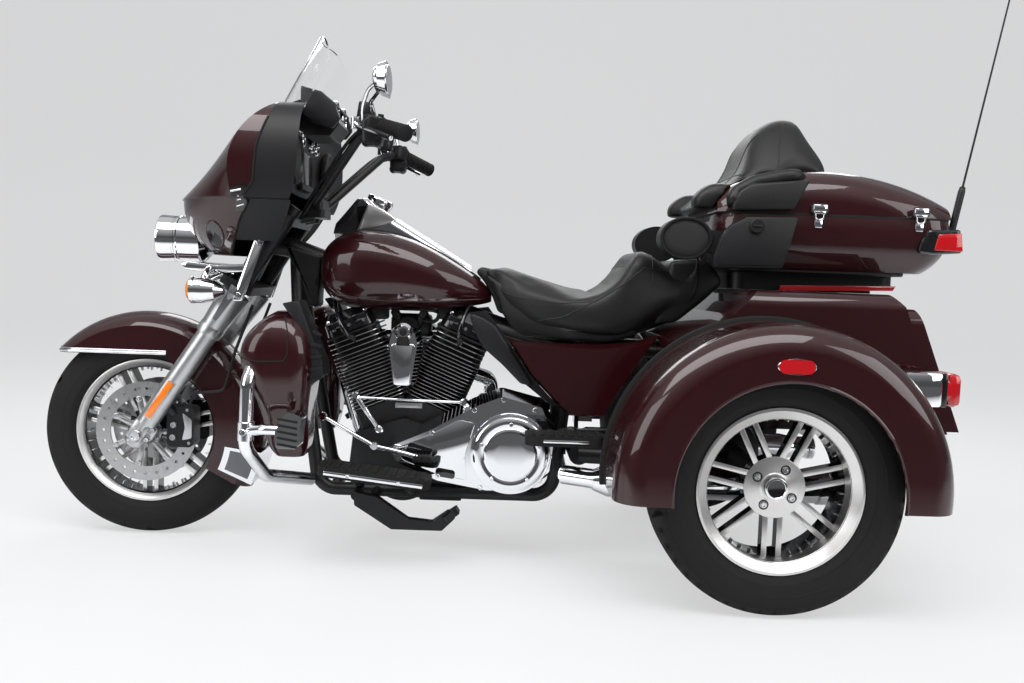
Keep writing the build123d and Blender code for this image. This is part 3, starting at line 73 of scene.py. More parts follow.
# %% Camera
CAMERA_AT = Vector((1.019 + FRONT_X, -2.837, 0.792))
YAW, PITCH, ROLL = math.radians(-0.87), math.radians(3.78), math.radians(2.1)
FOCAL_PX, PICTURE_PX, SENSOR_MM = 950.0, 1024.0, 36.0
right = Vector((math.cos(YAW), math.sin(YAW), 0))
ahead = Vector((-math.sin(YAW), math.cos(YAW), 0))
up = Vector((0, 0, 1))
look = ahead * math.cos(PITCH) - up * math.sin(PITCH)
over = up * math.cos(PITCH) + ahead * math.sin(PITCH)
cam_x = right * math.cos(ROLL) + over * math.sin(ROLL)
cam_y = over * math.cos(ROLL) - right * math.sin(ROLL)
cam_data = bpy.data.cameras.new("camera")
cam_data.sensor_width = SENSOR_MM
cam_data.lens = FOCAL_PX * SENSOR_MM / PICTURE_PX
camera = bpy.data.objects.new("camera", cam_data)
turn = Matrix((cam_x, cam_y, -look)).transposed()
camera.matrix_world = Matrix.Translation(CAMERA_AT) @ turn.to_4x4()
bpy.context.scene.collection.objects.link(camera)
bpy.context.scene.camera = camera
bpy.context.scene.view_settings.view_transform = "Standard"
print("lens", round(cam_data.lens, 1), "mm")

# %% [markdown]
# A pale floor runs up into a curved back wall, as in a photo studio. Large soft lamps overhead give the
# long highlights that gloss paint and chrome need. The world is dark at the horizon and pale overhead, so
# metal has something to mirror, and the camera sees it pale.

# %% Floor, lamps and world
SCENE = bpy.context.scene.collection
HALL, WALL_AT, SWEEP, SWEEP_STEPS = 40.0, 11.0, 3.0, 8


def new_object(name, bm):
    # Turn a bmesh into an object that sits at the origin
    mesh = bpy.data.meshes.new(name)
    bm.to_mesh(mesh)
    bm.free()
    obj = bpy.data.objects.new(name, mesh)
    SCENE.objects.link(obj)
    return obj


def moved(made, vec, bm):
    # Shift what an operator has just made
    bmesh.ops.translate(bm, vec=vec, verts=[v for v in made if isinstance(v, bmesh.types.BMVert)])


def make_floor():
    # Flat floor and back wall with a round sweep between them
    bm = bmesh.new()
    profile = [bm.verts.new((-HALL, -HALL, 0)), bm.verts.new((-HALL, WALL_AT, 0))]
    for k in range(1, SWEEP_STEPS + 1):
        a = math.radians(90 * k / SWEEP_STEPS)
        profile.append(bm.verts.new((-HALL, WALL_AT + SWEEP * math.sin(a), SWEEP - SWEEP * math.cos(a))))
    profile.append(bm.verts.new((-HALL, WALL_AT + SWEEP, HALL / 2)))
    edges = [bm.edges.new(pair) for pair in zip(profile, profile[1:])]
    moved(bmesh.ops.extrude_edge_only(bm, edges=edges)["geom"], (2 * HALL, 0, 0), bm)
    bmesh.ops.recalc_face_normals(bm, faces=bm.faces)
    for face in bm.faces:
        face.smooth = True
    return new_object("studio_floor", bm)


floor = make_floor()
floor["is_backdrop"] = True


def lamp(name, place, aim, size, watts):
    # Soft rectangular lamp
    data = bpy.data.lights.new(name, "AREA")
    data.shape, data.size, data.size_y, data.energy = "RECTANGLE", size[0], size[1], watts
    obj = bpy.data.objects.new(name, data)
    obj.location = place
    obj.rotation_euler = (Vector(aim) - Vector(place)).to_track_quat("-Z", "Y").to_euler()
    SCENE.objects.link(obj)


lamp("key_overhead", (-0.4, -1.8, 3.6), (0, -0.1, 0.5), (5.0, 2.0), 150)
lamp("front_fill", (-3.6, -2.6, 2.0), (-0.4, 0, 0.6), (2.4, 2.4), 55)
lamp("rear_fill", (3.6, -2.4, 2.2), (0.5, 0, 0.6), (2.4, 2.4), 55)
lamp("back_rim", (0.2, 3.0, 3.0), (0, 0, 0.6), (4.5, 1.5), 70)
world = bpy.data.worlds.new("studio")
bpy.context.scene.world = world
world.use_nodes = True
HORIZON, ZENITH, SEEN = (0.12, 0.12, 0.125, 1), (0.95, 0.96, 0.98, 1), (0.95, 0.95, 0.96, 1)
FADE_AT, WORLD_STRENGTH = (0.10, 0.80), 0.65
# Numbers of the sockets of a colour mix
MIX_A, MIX_B, MIX_OUT = 6, 7, 2
sky = world.node_tree
direction = sky.nodes.new("ShaderNodeSeparateXYZ")
fade = sky.nodes.new("ShaderNodeValToRGB")
sky.links.new(sky.nodes.new("ShaderNodeTexCoord").outputs["Generated"], direction.inputs[0])
sky.links.new(direction.outputs["Z"], fade.inputs[0])
seen = sky.nodes.new("ShaderNodeMix")
seen.data_type = "RGBA"
seen.inputs[MIX_B].default_value = SEEN
rays = sky.nodes.new("ShaderNodeLightPath").outputs
through = sky.nodes.new("ShaderNodeMath")
through.operation = "MAXIMUM"
sky.links.new(rays["Is Camera Ray"], through.inputs[0])
sky.links.new(rays["Is Transmission Ray"], through.inputs[1])
sky.links.new(through.outputs[0], seen.inputs[0])
sky.links.new(fade.outputs["Color"], seen.inputs[MIX_A])
sky.links.new(seen.outputs[MIX_OUT], sky.nodes["Background"].inputs["Color"])
for stop, place, colour in zip(fade.color_ramp.elements, FADE_AT, (HORIZON, ZENITH)):
    stop.position, stop.color = place, colour
sky.nodes["Background"].inputs["Strength"].default_value = WORLD_STRENGTH
print("lamps 4")

# %% [markdown]
# Effects that several finishes share are built once as shader node groups: a fine grain for moulded
# plastic, leather and castings, slow wipe marks that change the gloss, and the flake of metallic paint.
# Each group reads Object coordinates, so a pattern keeps its size in metres on every piece.

# %% Shared effects


def group(name, inputs, outputs):
    # Empty node group with its sockets
    tree = bpy.data.node_groups.new(name, "ShaderNodeTree")
    for label, value in inputs:
        socket = tree.interface.new_socket(name=label, in_out="INPUT", socket_type="NodeSocketFloat")
        socket.default_value = value
    for label in outputs:
        tree.interface.new_socket(name=label, in_out="OUTPUT", socket_type="NodeSocketFloat")
    start, end = tree.nodes.new("NodeGroupInput"), tree.nodes.new("NodeGroupOutput")
    return tree, start, end


def maths(tree, operation, first, second=None, clamp=False):
    # Maths node on one or two sockets or numbers
    node = tree.nodes.new("ShaderNodeMath")
    node.operation, node.use_clamp = operation, clamp
    for socket, value in zip(node.inputs, (first, second)):
        if value is None:
            continue
        if isinstance(value, (int, float)):
            socket.default_value = value
        else:
            tree.links.new(value, socket)
    return node.outputs[0]


def object_point(tree):
    # Place on the piece itself, in metres
    return tree.nodes.new("ShaderNodeTexCoord").outputs["Object"]


def grain_group():
    # Rounded pebbles over a fine noise, as moulded plastic and hide have
    tree, start, end = group("grain", [("Scale", 400.0), ("Pebble", 0.6)], ["Height"])
    point = object_point(tree)
    cells = tree.nodes.new("ShaderNodeTexVoronoi")
    noise = tree.nodes.new("ShaderNodeTexNoise")
    noise.inputs["Detail"].default_value = 3.0
    for node in (cells, noise):
        tree.links.new(point, node.inputs["Vector"])
        tree.links.new(start.outputs["Scale"], node.inputs["Scale"])
    pebble = maths(tree, "MULTIPLY", cells.outputs["Distance"], start.outputs["Pebble"])
    tree.links.new(maths(tree, "ADD", pebble, noise.outputs["Fac"]), end.inputs["Height"])
    return tree


def wipe_group():
    # Broad, soft patches where a surface was wiped or handled
    tree, start, end = group("wipe_marks", [("Scale", 5.0), ("Amount", 0.1), ("Base", 0.3)], ["Roughness"])
    noise = tree.nodes.new("ShaderNodeTexNoise")
    noise.inputs["Detail"].default_value = 4.0
    noise.inputs["Distortion"].default_value = 0.6
    tree.links.new(object_point(tree), noise.inputs["Vector"])
    tree.links.new(start.outputs["Scale"], noise.inputs["Scale"])
    centred = maths(tree, "SUBTRACT", noise.outputs["Fac"], 0.5)
    swing = maths(tree, "MULTIPLY", centred, start.outputs["Amount"])
    tree.links.new(maths(tree, "ADD", start.outputs["Base"], swing, clamp=True), end.inputs["Roughness"])
    return tree


def flake_group():
    # Tiny plates of random brightness inside the paint
    tree, start, end = group("paint_flake", [("Scale", 2500.0)], ["Sparkle"])
    cells = tree.nodes.new("ShaderNodeTexVoronoi")
    tree.links.new(object_point(tree), cells.inputs["Vector"])
    tree.links.new(start.outputs["Scale"], cells.inputs["Scale"])
    split = tree.nodes.new("ShaderNodeSeparateColor")
    tree.links.new(cells.outputs["Color"], split.inputs["Color"])
    tree.links.new(maths(tree, "POWER", split.outputs[0], 2.0), end.inputs["Sparkle"])
    return tree


GRAIN, WIPE, FLAKE = grain_group(), wipe_group(), flake_group()
print("groups", GRAIN.name, WIPE.name, FLAKE.name)

# %% [markdown]
# A finish is one Principled shader with its constant values set on its own sockets. The helper below adds
# wipe marks to the roughness, grain to the normal and a second colour through a mask, each only where it
# is asked for.

# %% Finishes
MADE = {}
COAT_ROUGHNESS, BUMP_DISTANCE = 0.03, 0.001


def finish(name, colour, roughness, metallic=0.0, coat=0.0, wipe=(5.0, 0.1), grain=None, flake=None,
           **sockets):
    mat = bpy.data.materials.new(name)
    mat.use_nodes = True
    tree = mat.node_tree
    shader = tree.nodes["Principled BSDF"]
    shader.inputs["Base Color"].default_value = (*colour, 1)
    shader.inputs["Metallic"].default_value = metallic
    shader.inputs["Coat Weight"].default_value = coat
    shader.inputs["Coat Roughness"].default_value = COAT_ROUGHNESS
    for label, value in sockets.items():
        shader.inputs[label.replace("_", " ").title().replace("Ior", "IOR")].default_value = value
    if wipe:
        marks = tree.nodes.new("ShaderNodeGroup")
        marks.node_tree = WIPE
        for label, value in zip(("Scale", "Amount", "Base"), (*wipe, roughness)):
            marks.inputs[label].default_value = value
        tree.links.new(marks.outputs["Roughness"], shader.inputs["Roughness"])
    else:
        shader.inputs["Roughness"].default_value = roughness
    if grain:
        pebbles = tree.nodes.new("ShaderNodeGroup")
        pebbles.node_tree = GRAIN
        pebbles.inputs["Scale"].default_value, pebbles.inputs["Pebble"].default_value = grain[:2]
        bump = tree.nodes.new("ShaderNodeBump")
        bump.inputs["Strength"].default_value = grain[2]
        bump.inputs["Distance"].default_value = BUMP_DISTANCE
        tree.links.new(pebbles.outputs["Height"], bump.inputs["Height"])
        tree.links.new(bump.outputs["Normal"], shader.inputs["Normal"])
    if flake:
        plates = tree.nodes.new("ShaderNodeGroup")
        plates.node_tree = FLAKE
        plates.inputs["Scale"].default_value = flake[0]
        mix = tree.nodes.new("ShaderNodeMix")
        mix.data_type = "RGBA"
        mix.inputs[MIX_A].default_value, mix.inputs[MIX_B].default_value = (*colour, 1), (*flake[1], 1)
        tree.links.new(plates.outputs["Sparkle"], mix.inputs[0])
        tree.links.new(mix.outputs[MIX_OUT], shader.inputs["Base Color"])
    MADE[name] = mat
    return mat


paint = finish("maroon_paint", (0.013, 0.0015, 0.0022), 0.34, 0.20, 1.0,
               flake=(2200.0, (0.048, 0.0046, 0.0070)), specular_ior_level=0.15)
chrome = finish("polished_chrome", (0.80, 0.81, 0.83), 0.05, 1.0, wipe=(7.0, 0.05))
silver = finish("satin_silver", (0.52, 0.53, 0.54), 0.34, 1.0, grain=(900.0, 0.2, 0.05))
machined = finish("machined_rim", (0.66, 0.65, 0.64), 0.32, 1.0, wipe=(30.0, 0.12))
steel = finish("ground_steel", (0.48, 0.48, 0.49), 0.30, 1.0, wipe=(60.0, 0.2))
black_gloss = finish("black_gloss", (0.006, 0.006, 0.007), 0.14, 0.0, 0.6)
black_satin = finish("black_satin", (0.007, 0.007, 0.008), 0.40, grain=(700.0, 0.3, 0.08),
                     specular_ior_level=0.35)
engine_black = finish("wrinkle_black", (0.008, 0.008, 0.009), 0.50, 0.1, grain=(520.0, 0.9, 0.22))
plastic = finish("grained_plastic", (0.008, 0.008, 0.009), 0.46, grain=(620.0, 0.8, 0.16),
                 specular_ior_level=0.30)
rubber = finish("moulded_rubber", (0.008, 0.008, 0.008), 0.70, grain=(480.0, 0.4, 0.15),
                specular_ior_level=0.25)
tyre_rubber = finish("tyre_rubber", (0.009, 0.0085, 0.009), 0.72, wipe=(12.0, 0.16),
                     grain=(300.0, 0.3, 0.12), specular_ior_level=0.25)
leather = finish("black_leather", (0.009, 0.009, 0.0095), 0.44, grain=(330.0, 1.0, 0.30), wipe=(9.0, 0.16),
                 specular_ior_level=0.32)
welt = finish("stitched_welt", (0.006, 0.006, 0.006), 0.50, grain=(900.0, 1.0, 0.40))
clear = finish("clear_screen", (0.985, 0.99, 0.99), 0.02, wipe=None, transmission_weight=1.0, ior=1.22)
red_lens = finish("ribbed_red", (0.42, 0.004, 0.008), 0.10, coat=0.8, grain=(260.0, 1.0, 0.10))
amber_lens = finish("ribbed_amber", (0.80, 0.20, 0.012), 0.10, coat=0.8, grain=(260.0, 1.0, 0.10))
mirror_glass = finish("mirror_glass", (0.86, 0.88, 0.90), 0.02, 1.0, wipe=(4.0, 0.03))
grey_mesh = finish("grey_mesh", (0.16, 0.16, 0.17), 0.45, 0.6, grain=(420.0, 1.0, 0.5))
speaker_cloth = finish("speaker_cloth", (0.008, 0.008, 0.008), 0.80, grain=(520.0, 1.0, 0.6))
dial_face = finish("dial_face", (0.012, 0.013, 0.015), 0.20, coat=0.5, wipe=(20.0, 0.06))
plate_white = finish("plate_white", (0.62, 0.62, 0.60), 0.40, coat=0.2, grain=(200.0, 0.2, 0.05))
floor_white = finish("studio_white", (0.82, 0.83, 0.84), 0.40, wipe=(1.2, 0.10))
# Metres to the left of the trike where the painted dark reflection in the floor begins and where it is at
# full strength
PAINTED_REFLECTION_FROM, PAINTED_REFLECTION_TO = 1.5, 2.4


def lift_floor(mat, share, level, painted_reflection_colour):
    # Show the sweep a little brighter to the camera and through glass, and keep its soft shadow. Beyond the
    # front of the sweep the floor shows a dark colour to glossy rays only, a painted reflection that darkens
    # gloss and chrome.
    tree = mat.node_tree
    path = tree.nodes.new("ShaderNodeLightPath")
    rays = maths(tree, "ADD", path.outputs["Is Camera Ray"], path.outputs["Is Transmission Ray"],
                 clamp=True)
    glow = tree.nodes.new("ShaderNodeEmission")
    glow.inputs["Color"].default_value = level
    mix = tree.nodes.new("ShaderNodeMixShader")
    tree.links.new(maths(tree, "MULTIPLY", rays, share), mix.inputs[0])
    tree.links.new(tree.nodes["Principled BSDF"].outputs[0], mix.inputs[1])
    tree.links.new(glow.outputs[0], mix.inputs[2])
    split = tree.nodes.new("ShaderNodeSeparateXYZ")
    tree.links.new(object_point(tree), split.inputs[0])
    beyond = maths(tree, "MULTIPLY_ADD", split.outputs["Y"], -1 / (PAINTED_REFLECTION_TO - PAINTED_REFLECTION_FROM), clamp=True)
    beyond.node.inputs[2].default_value = -PAINTED_REFLECTION_FROM / (PAINTED_REFLECTION_TO - PAINTED_REFLECTION_FROM)
    # Painted reflection: a dark emission that only glossy rays see
    painted_reflection = tree.nodes.new("ShaderNodeEmission")
    painted_reflection.inputs["Color"].default_value = painted_reflection_colour
    mirrored = tree.nodes.new("ShaderNodeMixShader")
    gloss = maths(tree, "SUBTRACT", path.outputs["Is Glossy Ray"], path.outputs["Is Transmission Ray"],
                  clamp=True)
    tree.links.new(maths(tree, "MULTIPLY", beyond, gloss), mirrored.inputs[0])
    tree.links.new(mix.outputs[0], mirrored.inputs[1])
    tree.links.new(painted_reflection.outputs[0], mirrored.inputs[2])
    tree.links.new(mirrored.outputs[0], tree.nodes["Material Output"].inputs["Surface"])


# The last colour is the painted dark reflection in the floor
lift_floor(floor_white, 0.66, (0.86, 0.86, 0.865, 1), (0.11, 0.11, 0.115, 1))
floor.data.materials.append(floor_white)
print("finishes", len(MADE))

# %% [markdown]
# Each solid wears one finish. The table lists the solids under their finish, so a change of finish is
# made in one place, and a mirrored pair can't come out in two colours.

# %% Finishes on the solids
WEAR = {
    paint: "fuel_tank front_fender fairing_outer leg_shields side_covers trunk_body rear_fenders trunk_door "
           "top_case_tub top_case_lid",
    chrome: "primary_cover clutch_cover horn_cover air_cleaner exhaust tank_console engine_guard headlamp "
            "signal_lamps mirrors case_latches fender_flap",
    silver: "fork_legs fork_covers",
    steel: "front_discs",
    engine_black: "engine_case cylinders",
    black_gloss: "front_rim rear_rim_left rear_rim_right rocker_boxes",
    black_satin: "frame rear_axle fork_clamps handlebar foot_controls front_brakes case_rack plate_holder",
    plastic: "fairing_inner speaker_pods antenna heat_deflectors",
    rubber: "grips foot_boards",
    tyre_rubber: "front_tyre rear_tyre_left rear_tyre_right",
    leather: "seat backrest",
    clear: "windshield headlamp_lens",
    red_lens: "red_lamps",
    amber_lens: "signal_lenses",
}
for mat, names in WEAR.items():
    for name in names.split():
        data = nodes[name].data
        data.materials.clear()
        data.materials.append(mat)
print("dressed", sum(len(v.split()) for v in WEAR.values()), "solids")

# %% [markdown]
# All added pieces are drawn in millimetres with the same named places as the solids, and one helper
# brings them to metres, closes them, shades them and puts them on the body that carries them. The other
# helpers wrap one mesh operator each: spin for turned shapes, extrude for plates, bevel for blocks and a
# curve for bent rod.

# %% Making tools
MM = 0.001
FRONT_MM, REAR_MM, AXLE = FRONT_X / MM, REAR_X / MM, AXLE_Z / MM
LEFT, RIGHT = Vector((0, -1, 0)), Vector((0, 1, 0))
AHEAD, BACK = Vector((-1, 0, 0)), Vector((1, 0, 0))
UP, DOWN = Vector((0, 0, 1)), Vector((0, 0, -1))
SIDES = (("left", -1), ("right", 1))
# A y beyond the dressed pieces, half the wall of the top case, and the gap that counts as closed
OUTSIDE, HALF_WALL, CLOSE = 600, 3, 0.001


def fwd(distance):
    # X of a place so many millimetres behind the front axle
    return FRONT_MM + distance


def aft(distance):
    # X of a place so many millimetres behind the rear axle
    return REAR_MM + distance


def fwds(rows):
    # Rows whose first number is measured from the front axle
    return [(fwd(row[0]), *row[1:]) for row in rows]


def afts(rows):
    # Rows whose first number is measured from the rear axle
    return [(aft(row[0]), *row[1:]) for row in rows]


def settle(name, bm, body, mat, sharp=38, both=False):
    # Bring a drawn piece to metres, close it, shade it and put it on its body. A piece for both sides is
    # mirrored.
    if both:
        geom = [*bm.verts, *bm.edges, *bm.faces]
        bmesh.ops.mirror(bm, geom=geom, matrix=Matrix(), merge_dist=0.0001, axis="Y")
    bmesh.ops.remove_doubles(bm, verts=bm.verts, dist=CLOSE)
    bmesh.ops.dissolve_degenerate(bm, edges=bm.edges, dist=CLOSE)
    bmesh.ops.recalc_face_normals(bm, faces=bm.faces)
    bmesh.ops.scale(bm, vec=(MM, MM, MM), verts=bm.verts)
    for face in bm.faces:
        face.smooth = True
    obj = new_object(name, bm)
    obj.data.materials.append(mat)
    obj.data.set_sharp_from_angle(angle=math.radians(sharp))
    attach(obj, body)
    return obj


def put(bm, part):
    # Join a small drawn shape into a larger one
    mesh = bpy.data.meshes.new("joined")
    part.to_mesh(mesh)
    part.free()
    bm.from_mesh(mesh)
    bpy.data.meshes.remove(mesh)


def lathe(bm, rows, origin, axis, steps=64, angle=math.tau, start=None):
    # Spin rows of (distance along the axis, radius) about an axis through the origin
    origin, axis = Vector(origin), Vector(axis).normalized()
    side = Vector(start).normalized() if start else axis.orthogonal().normalized()
    verts = [bm.verts.new(origin + axis * along + side * radius) for along, radius in rows]
    edges = [bm.edges.new(pair) for pair in zip(verts, verts[1:])]
    bmesh.ops.spin(bm, geom=verts + edges, cent=origin, axis=axis, angle=angle, steps=steps,
                   use_merge=angle == math.tau)


def slab(outline, y, depth, bevel=0.0, corner=0.0):
    # Plate cut to an outline of (x, z), from y by a depth that may be negative
    bm = bmesh.new()
    bm.faces.new([bm.verts.new((x, y, z)) for x, z in outline])
    if corner:
        bmesh.ops.bevel(bm, geom=bm.verts[:], offset=corner, segments=5, profile=0.5, affect="VERTICES",
                        material=-1)
    moved(bmesh.ops.extrude_face_region(bm, geom=bm.faces[:])["geom"], (0, depth, 0), bm)
    if bevel:
        bmesh.ops.bevel(bm, geom=bm.edges[:], offset=bevel, segments=2, profile=0.5, affect="EDGES",
                        material=-1)
    return bm


def block(size, place, bevel, turn=None):
    # Box with rounded edges, turned and put in its place
    bm = bmesh.new()
    bmesh.ops.create_cube(bm, size=1.0)
    bmesh.ops.scale(bm, vec=size, verts=bm.verts)
    bmesh.ops.bevel(bm, geom=bm.edges[:], offset=bevel, segments=2, profile=0.5, affect="EDGES",
                    material=-1)
    spin = turn.to_4x4() if turn else Matrix()
    bmesh.ops.transform(bm, matrix=Matrix.Translation(place) @ spin, verts=bm.verts)
    return bm


def screws(bm, places, axis, radius, steps=12):
    # Round screw heads with a socket
    h = radius * 0.8
    rows = [(-1, 0), (-1, radius), (h * 0.6, radius), (h, radius * 0.82), (h, radius * 0.5),
            (h * 0.4, radius * 0.42), (h * 0.4, 0)]
    for place in places:
        lathe(bm, rows, place, axis, steps)


def pipe(bm, points, radius, order=3, sides=3, ends=1.0):
    # Bent rod along a smooth curve, whose ends may be thinner
    curve = bpy.data.curves.new("run", "CURVE")
    curve.dimensions = "3D"
    curve.bevel_depth, curve.bevel_resolution, curve.use_fill_caps = radius, sides, True
    curve.resolution_u = 6
    line = curve.splines.new("NURBS")
    line.points.add(len(points) - 1)
    for point, place in zip(line.points, points):
        point.co = (*place, 1)
    line.points[0].radius = line.points[-1].radius = ends
    line.order_u, line.use_endpoint_u = min(order, len(points)), True
    holder = bpy.data.objects.new("run", curve)
    mesh = bpy.data.meshes.new_from_object(holder)
    bm.from_mesh(mesh)
    bpy.data.meshes.remove(mesh)
    bpy.data.objects.remove(holder)


def skin_of(obj):
    # Search tree of an object's surface, in millimetres
    bm = bmesh.new()
    bm.from_mesh(obj.data)
    bmesh.ops.scale(bm, vec=(1 / MM, 1 / MM, 1 / MM), verts=bm.verts)
    tree = BVHTree.FromBMesh(bm)
    bm.free()
    return tree


def drawn_on(tree, points, way, steps=8):
    # Places where a line that is drawn from outside meets a surface
    found = []
    for k, (start, end) in enumerate(zip(points, points[1:])):
        for j in range(steps + (k == len(points) - 2)):
            place = Vector(start).lerp(Vector(end), j / steps)
            hit = tree.ray_cast(place, Vector(way))[0]
            if hit is not None:
                found.append(hit)
    return found


def from_left(tree, rows, steps=8):
    # Line of (x, z) that is drawn on a surface from the left
    return drawn_on(tree, [(x, -OUTSIDE, z) for x, z in rows], RIGHT, steps)


def kept_out(part, tree, side):
    # Piece on a wall of the top case, with its inner face moved to the middle of the wall
    for vert in part.verts:
        hit = tree.ray_cast(Vector((vert.co.x, side * OUTSIDE, vert.co.z)), Vector((0, -side, 0)))[0]
        if hit is not None and side * (hit.y - vert.co.y) > HALF_WALL:
            vert.co.y = hit.y - side * HALF_WALL
    return part


def patch_on(bm, tree, corners, lift, rounded=False, count=16):
    # Thin net laid on a surface from the left. The corners are (x, z) in turn, and a rounded net is an oval
    net = bmesh.new()
    bmesh.ops.create_grid(net, x_segments=count, y_segments=count, size=1.0)
    missed = []
    for vert in net.verts:
        a, b = vert.co.x, vert.co.y
        if rounded:
            a, b = a * math.sqrt(1 - b * b / 2), b * math.sqrt(1 - a * a / 2)
        low = Vector(corners[0]).lerp(Vector(corners[1]), (a + 1) / 2)
        high = Vector(corners[3]).lerp(Vector(corners[2]), (a + 1) / 2)
        x, z = low.lerp(high, (b + 1) / 2)
        hit = tree.ray_cast(Vector((x, -OUTSIDE, z)), RIGHT)[0]
        if hit is None:
            missed.append(vert)
        else:
            vert.co = hit + Vector((0, -lift, 0))
    bmesh.ops.delete(net, geom=missed, context="VERTS")
    bmesh.ops.solidify(net, geom=net.faces[:], thickness=lift * 0.9)
    put(bm, net)


print("tools ready")

# %% [markdown]
# Tyres. A road tyre is a turned shape with grooves cut in its tread. The profile is spun about the axle,
# the tread is swept into a shallow V, and every few steps a column of tread faces is pushed inward, which
# leaves real slanted grooves. The side walls carry plain rings.

# %% Tyres
FRONT_HUB, REAR_Y = Vector((fwd(0), 0, AXLE)), 530
# Radii where the tread and the shoulder begin, and the depth of the slanted grooves
TREAD, SHOULDER, GROOVE_DEPTH = 290, 280, 5
FRONT_TYRE = [
    (0, 308), (2.5, 308), (3, 303), (6.5, 303), (7, 307.9), (20, 307.3), (30, 305.4), (40, 301),
    (49, 294.5), (55, 285), (56.6, 281), (57.8, 281), (60.5, 270), (62, 258), (62.4, 248), (61.6, 247),
    (61, 236), (58, 226), (57, 226), (52, 217), (45, 212.5), (40.4, 208), (34, 197),
]
REAR_TYRE = [
    (0, 308), (9, 308), (10, 301), (17, 301), (18, 307.8), (41, 307.6), (42, 301), (49, 301), (50, 307.2),
    (66, 305), (80, 300), (87, 294), (92, 284), (93, 278), (94.5, 278), (97.5, 266), (99, 250), (98, 249),
    (97, 238), (94, 226), (92.5, 226), (88, 216), (82, 207), (76, 200.5), (68, 190),
]


def tyre_piece(name, node, body, hub, profile, steps, every, groove, lean):
    # Tyre with a groove at every few steps, which spans the given part of the width and leans
    bm = bmesh.new()
    rows = [(-across, radius) for across, radius in reversed(profile)] + profile[1:]
    lathe(bm, [*rows, rows[0]], hub, RIGHT, steps)
    bmesh.ops.remove_doubles(bm, verts=bm.verts, dist=CLOSE)
    columns = []
    for face in bm.faces:
        arm = face.calc_center_median() - hub
        turn = math.atan2(arm.x, arm.z) / math.tau * steps
        side = 0 if arm.y < 0 else every // 2
        on_tread = groove[0] < abs(arm.y) < groove[1] and math.hypot(arm.x, arm.z) > TREAD
        if on_tread and (int(turn + steps) + side) % every == 0:
            columns.append(face)
    for vert in bm.verts:
        arm = vert.co - hub
        if math.hypot(arm.x, arm.z) > SHOULDER:
            vert.co = hub + Matrix.Rotation(lean * abs(arm.y), 3, "Y") @ arm
    made = bmesh.ops.extrude_face_region(bm, geom=columns)["geom"]
    for vert in made:
        if isinstance(vert, bmesh.types.BMVert):
            arm = vert.co - hub
            arm.y = 0
            vert.co -= arm.normalized() * GROOVE_DEPTH
    obj = settle(name, bm, body, tyre_rubber, 30)
    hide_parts(node)
    return obj


tyres = [tyre_piece("front_road_tyre", "front_tyre", "front_wheel", FRONT_HUB, FRONT_TYRE, 168, 7, (8, 52),
                    0.0045)]
for name, side in SIDES:
    hub = Vector((aft(0), side * REAR_Y, AXLE))
    tyres.append(tyre_piece(f"rear_road_tyre_{name}", f"rear_tyre_{name}", f"rear_wheel_{name}", hub,
                            REAR_TYRE, 184, 4, (51, 92), 0.0012))
print("tyres", [len(tyre.data.polygons) for tyre in tyres])

# %% [markdown]
# Wheels. The castings are painted black and then turned on a lathe, so only the rim lips, the spoke faces
# and the hub faces are bright. The solids carry the black, and thin bright faces lie on them. Short ticks
# between the spoke pairs catch the light at the rim.

# %% Bright wheel faces
SPOKE_PAIRS = 7


def spoke_faces(bm, hub, y, inner, outer, width, spacing, thick=2.4):
    # Pairs of machined bars that lie on the spokes
    for k in range(SPOKE_PAIRS):
        turn = Matrix.Rotation(math.radians(90 + 360 * k / SPOKE_PAIRS), 3, "Y")
        for shift in (-spacing / 2, spacing / 2):
            place = hub + turn @ Vector(((inner + outer) / 2, 0, shift)) + Vector((0, y, 0))
            put(bm, block((outer - inner, thick, width), place, 0.8, turn))


def rim_ticks(bm, hub, y, radius, length):
    # Short ribs on the inside of the rim, between the spoke pairs
    for k in range(SPOKE_PAIRS):
        for turned in (-9, 0, 9):
            turn = Matrix.Rotation(math.radians(90 + 360 * (k + 0.5) / SPOKE_PAIRS + turned), 3, "Y")
            put(bm, block((11, length, 2.6), hub + turn @ Vector((radius - 5, 0, 0)) + Vector((0, y, 0)),
                          0.6, turn))


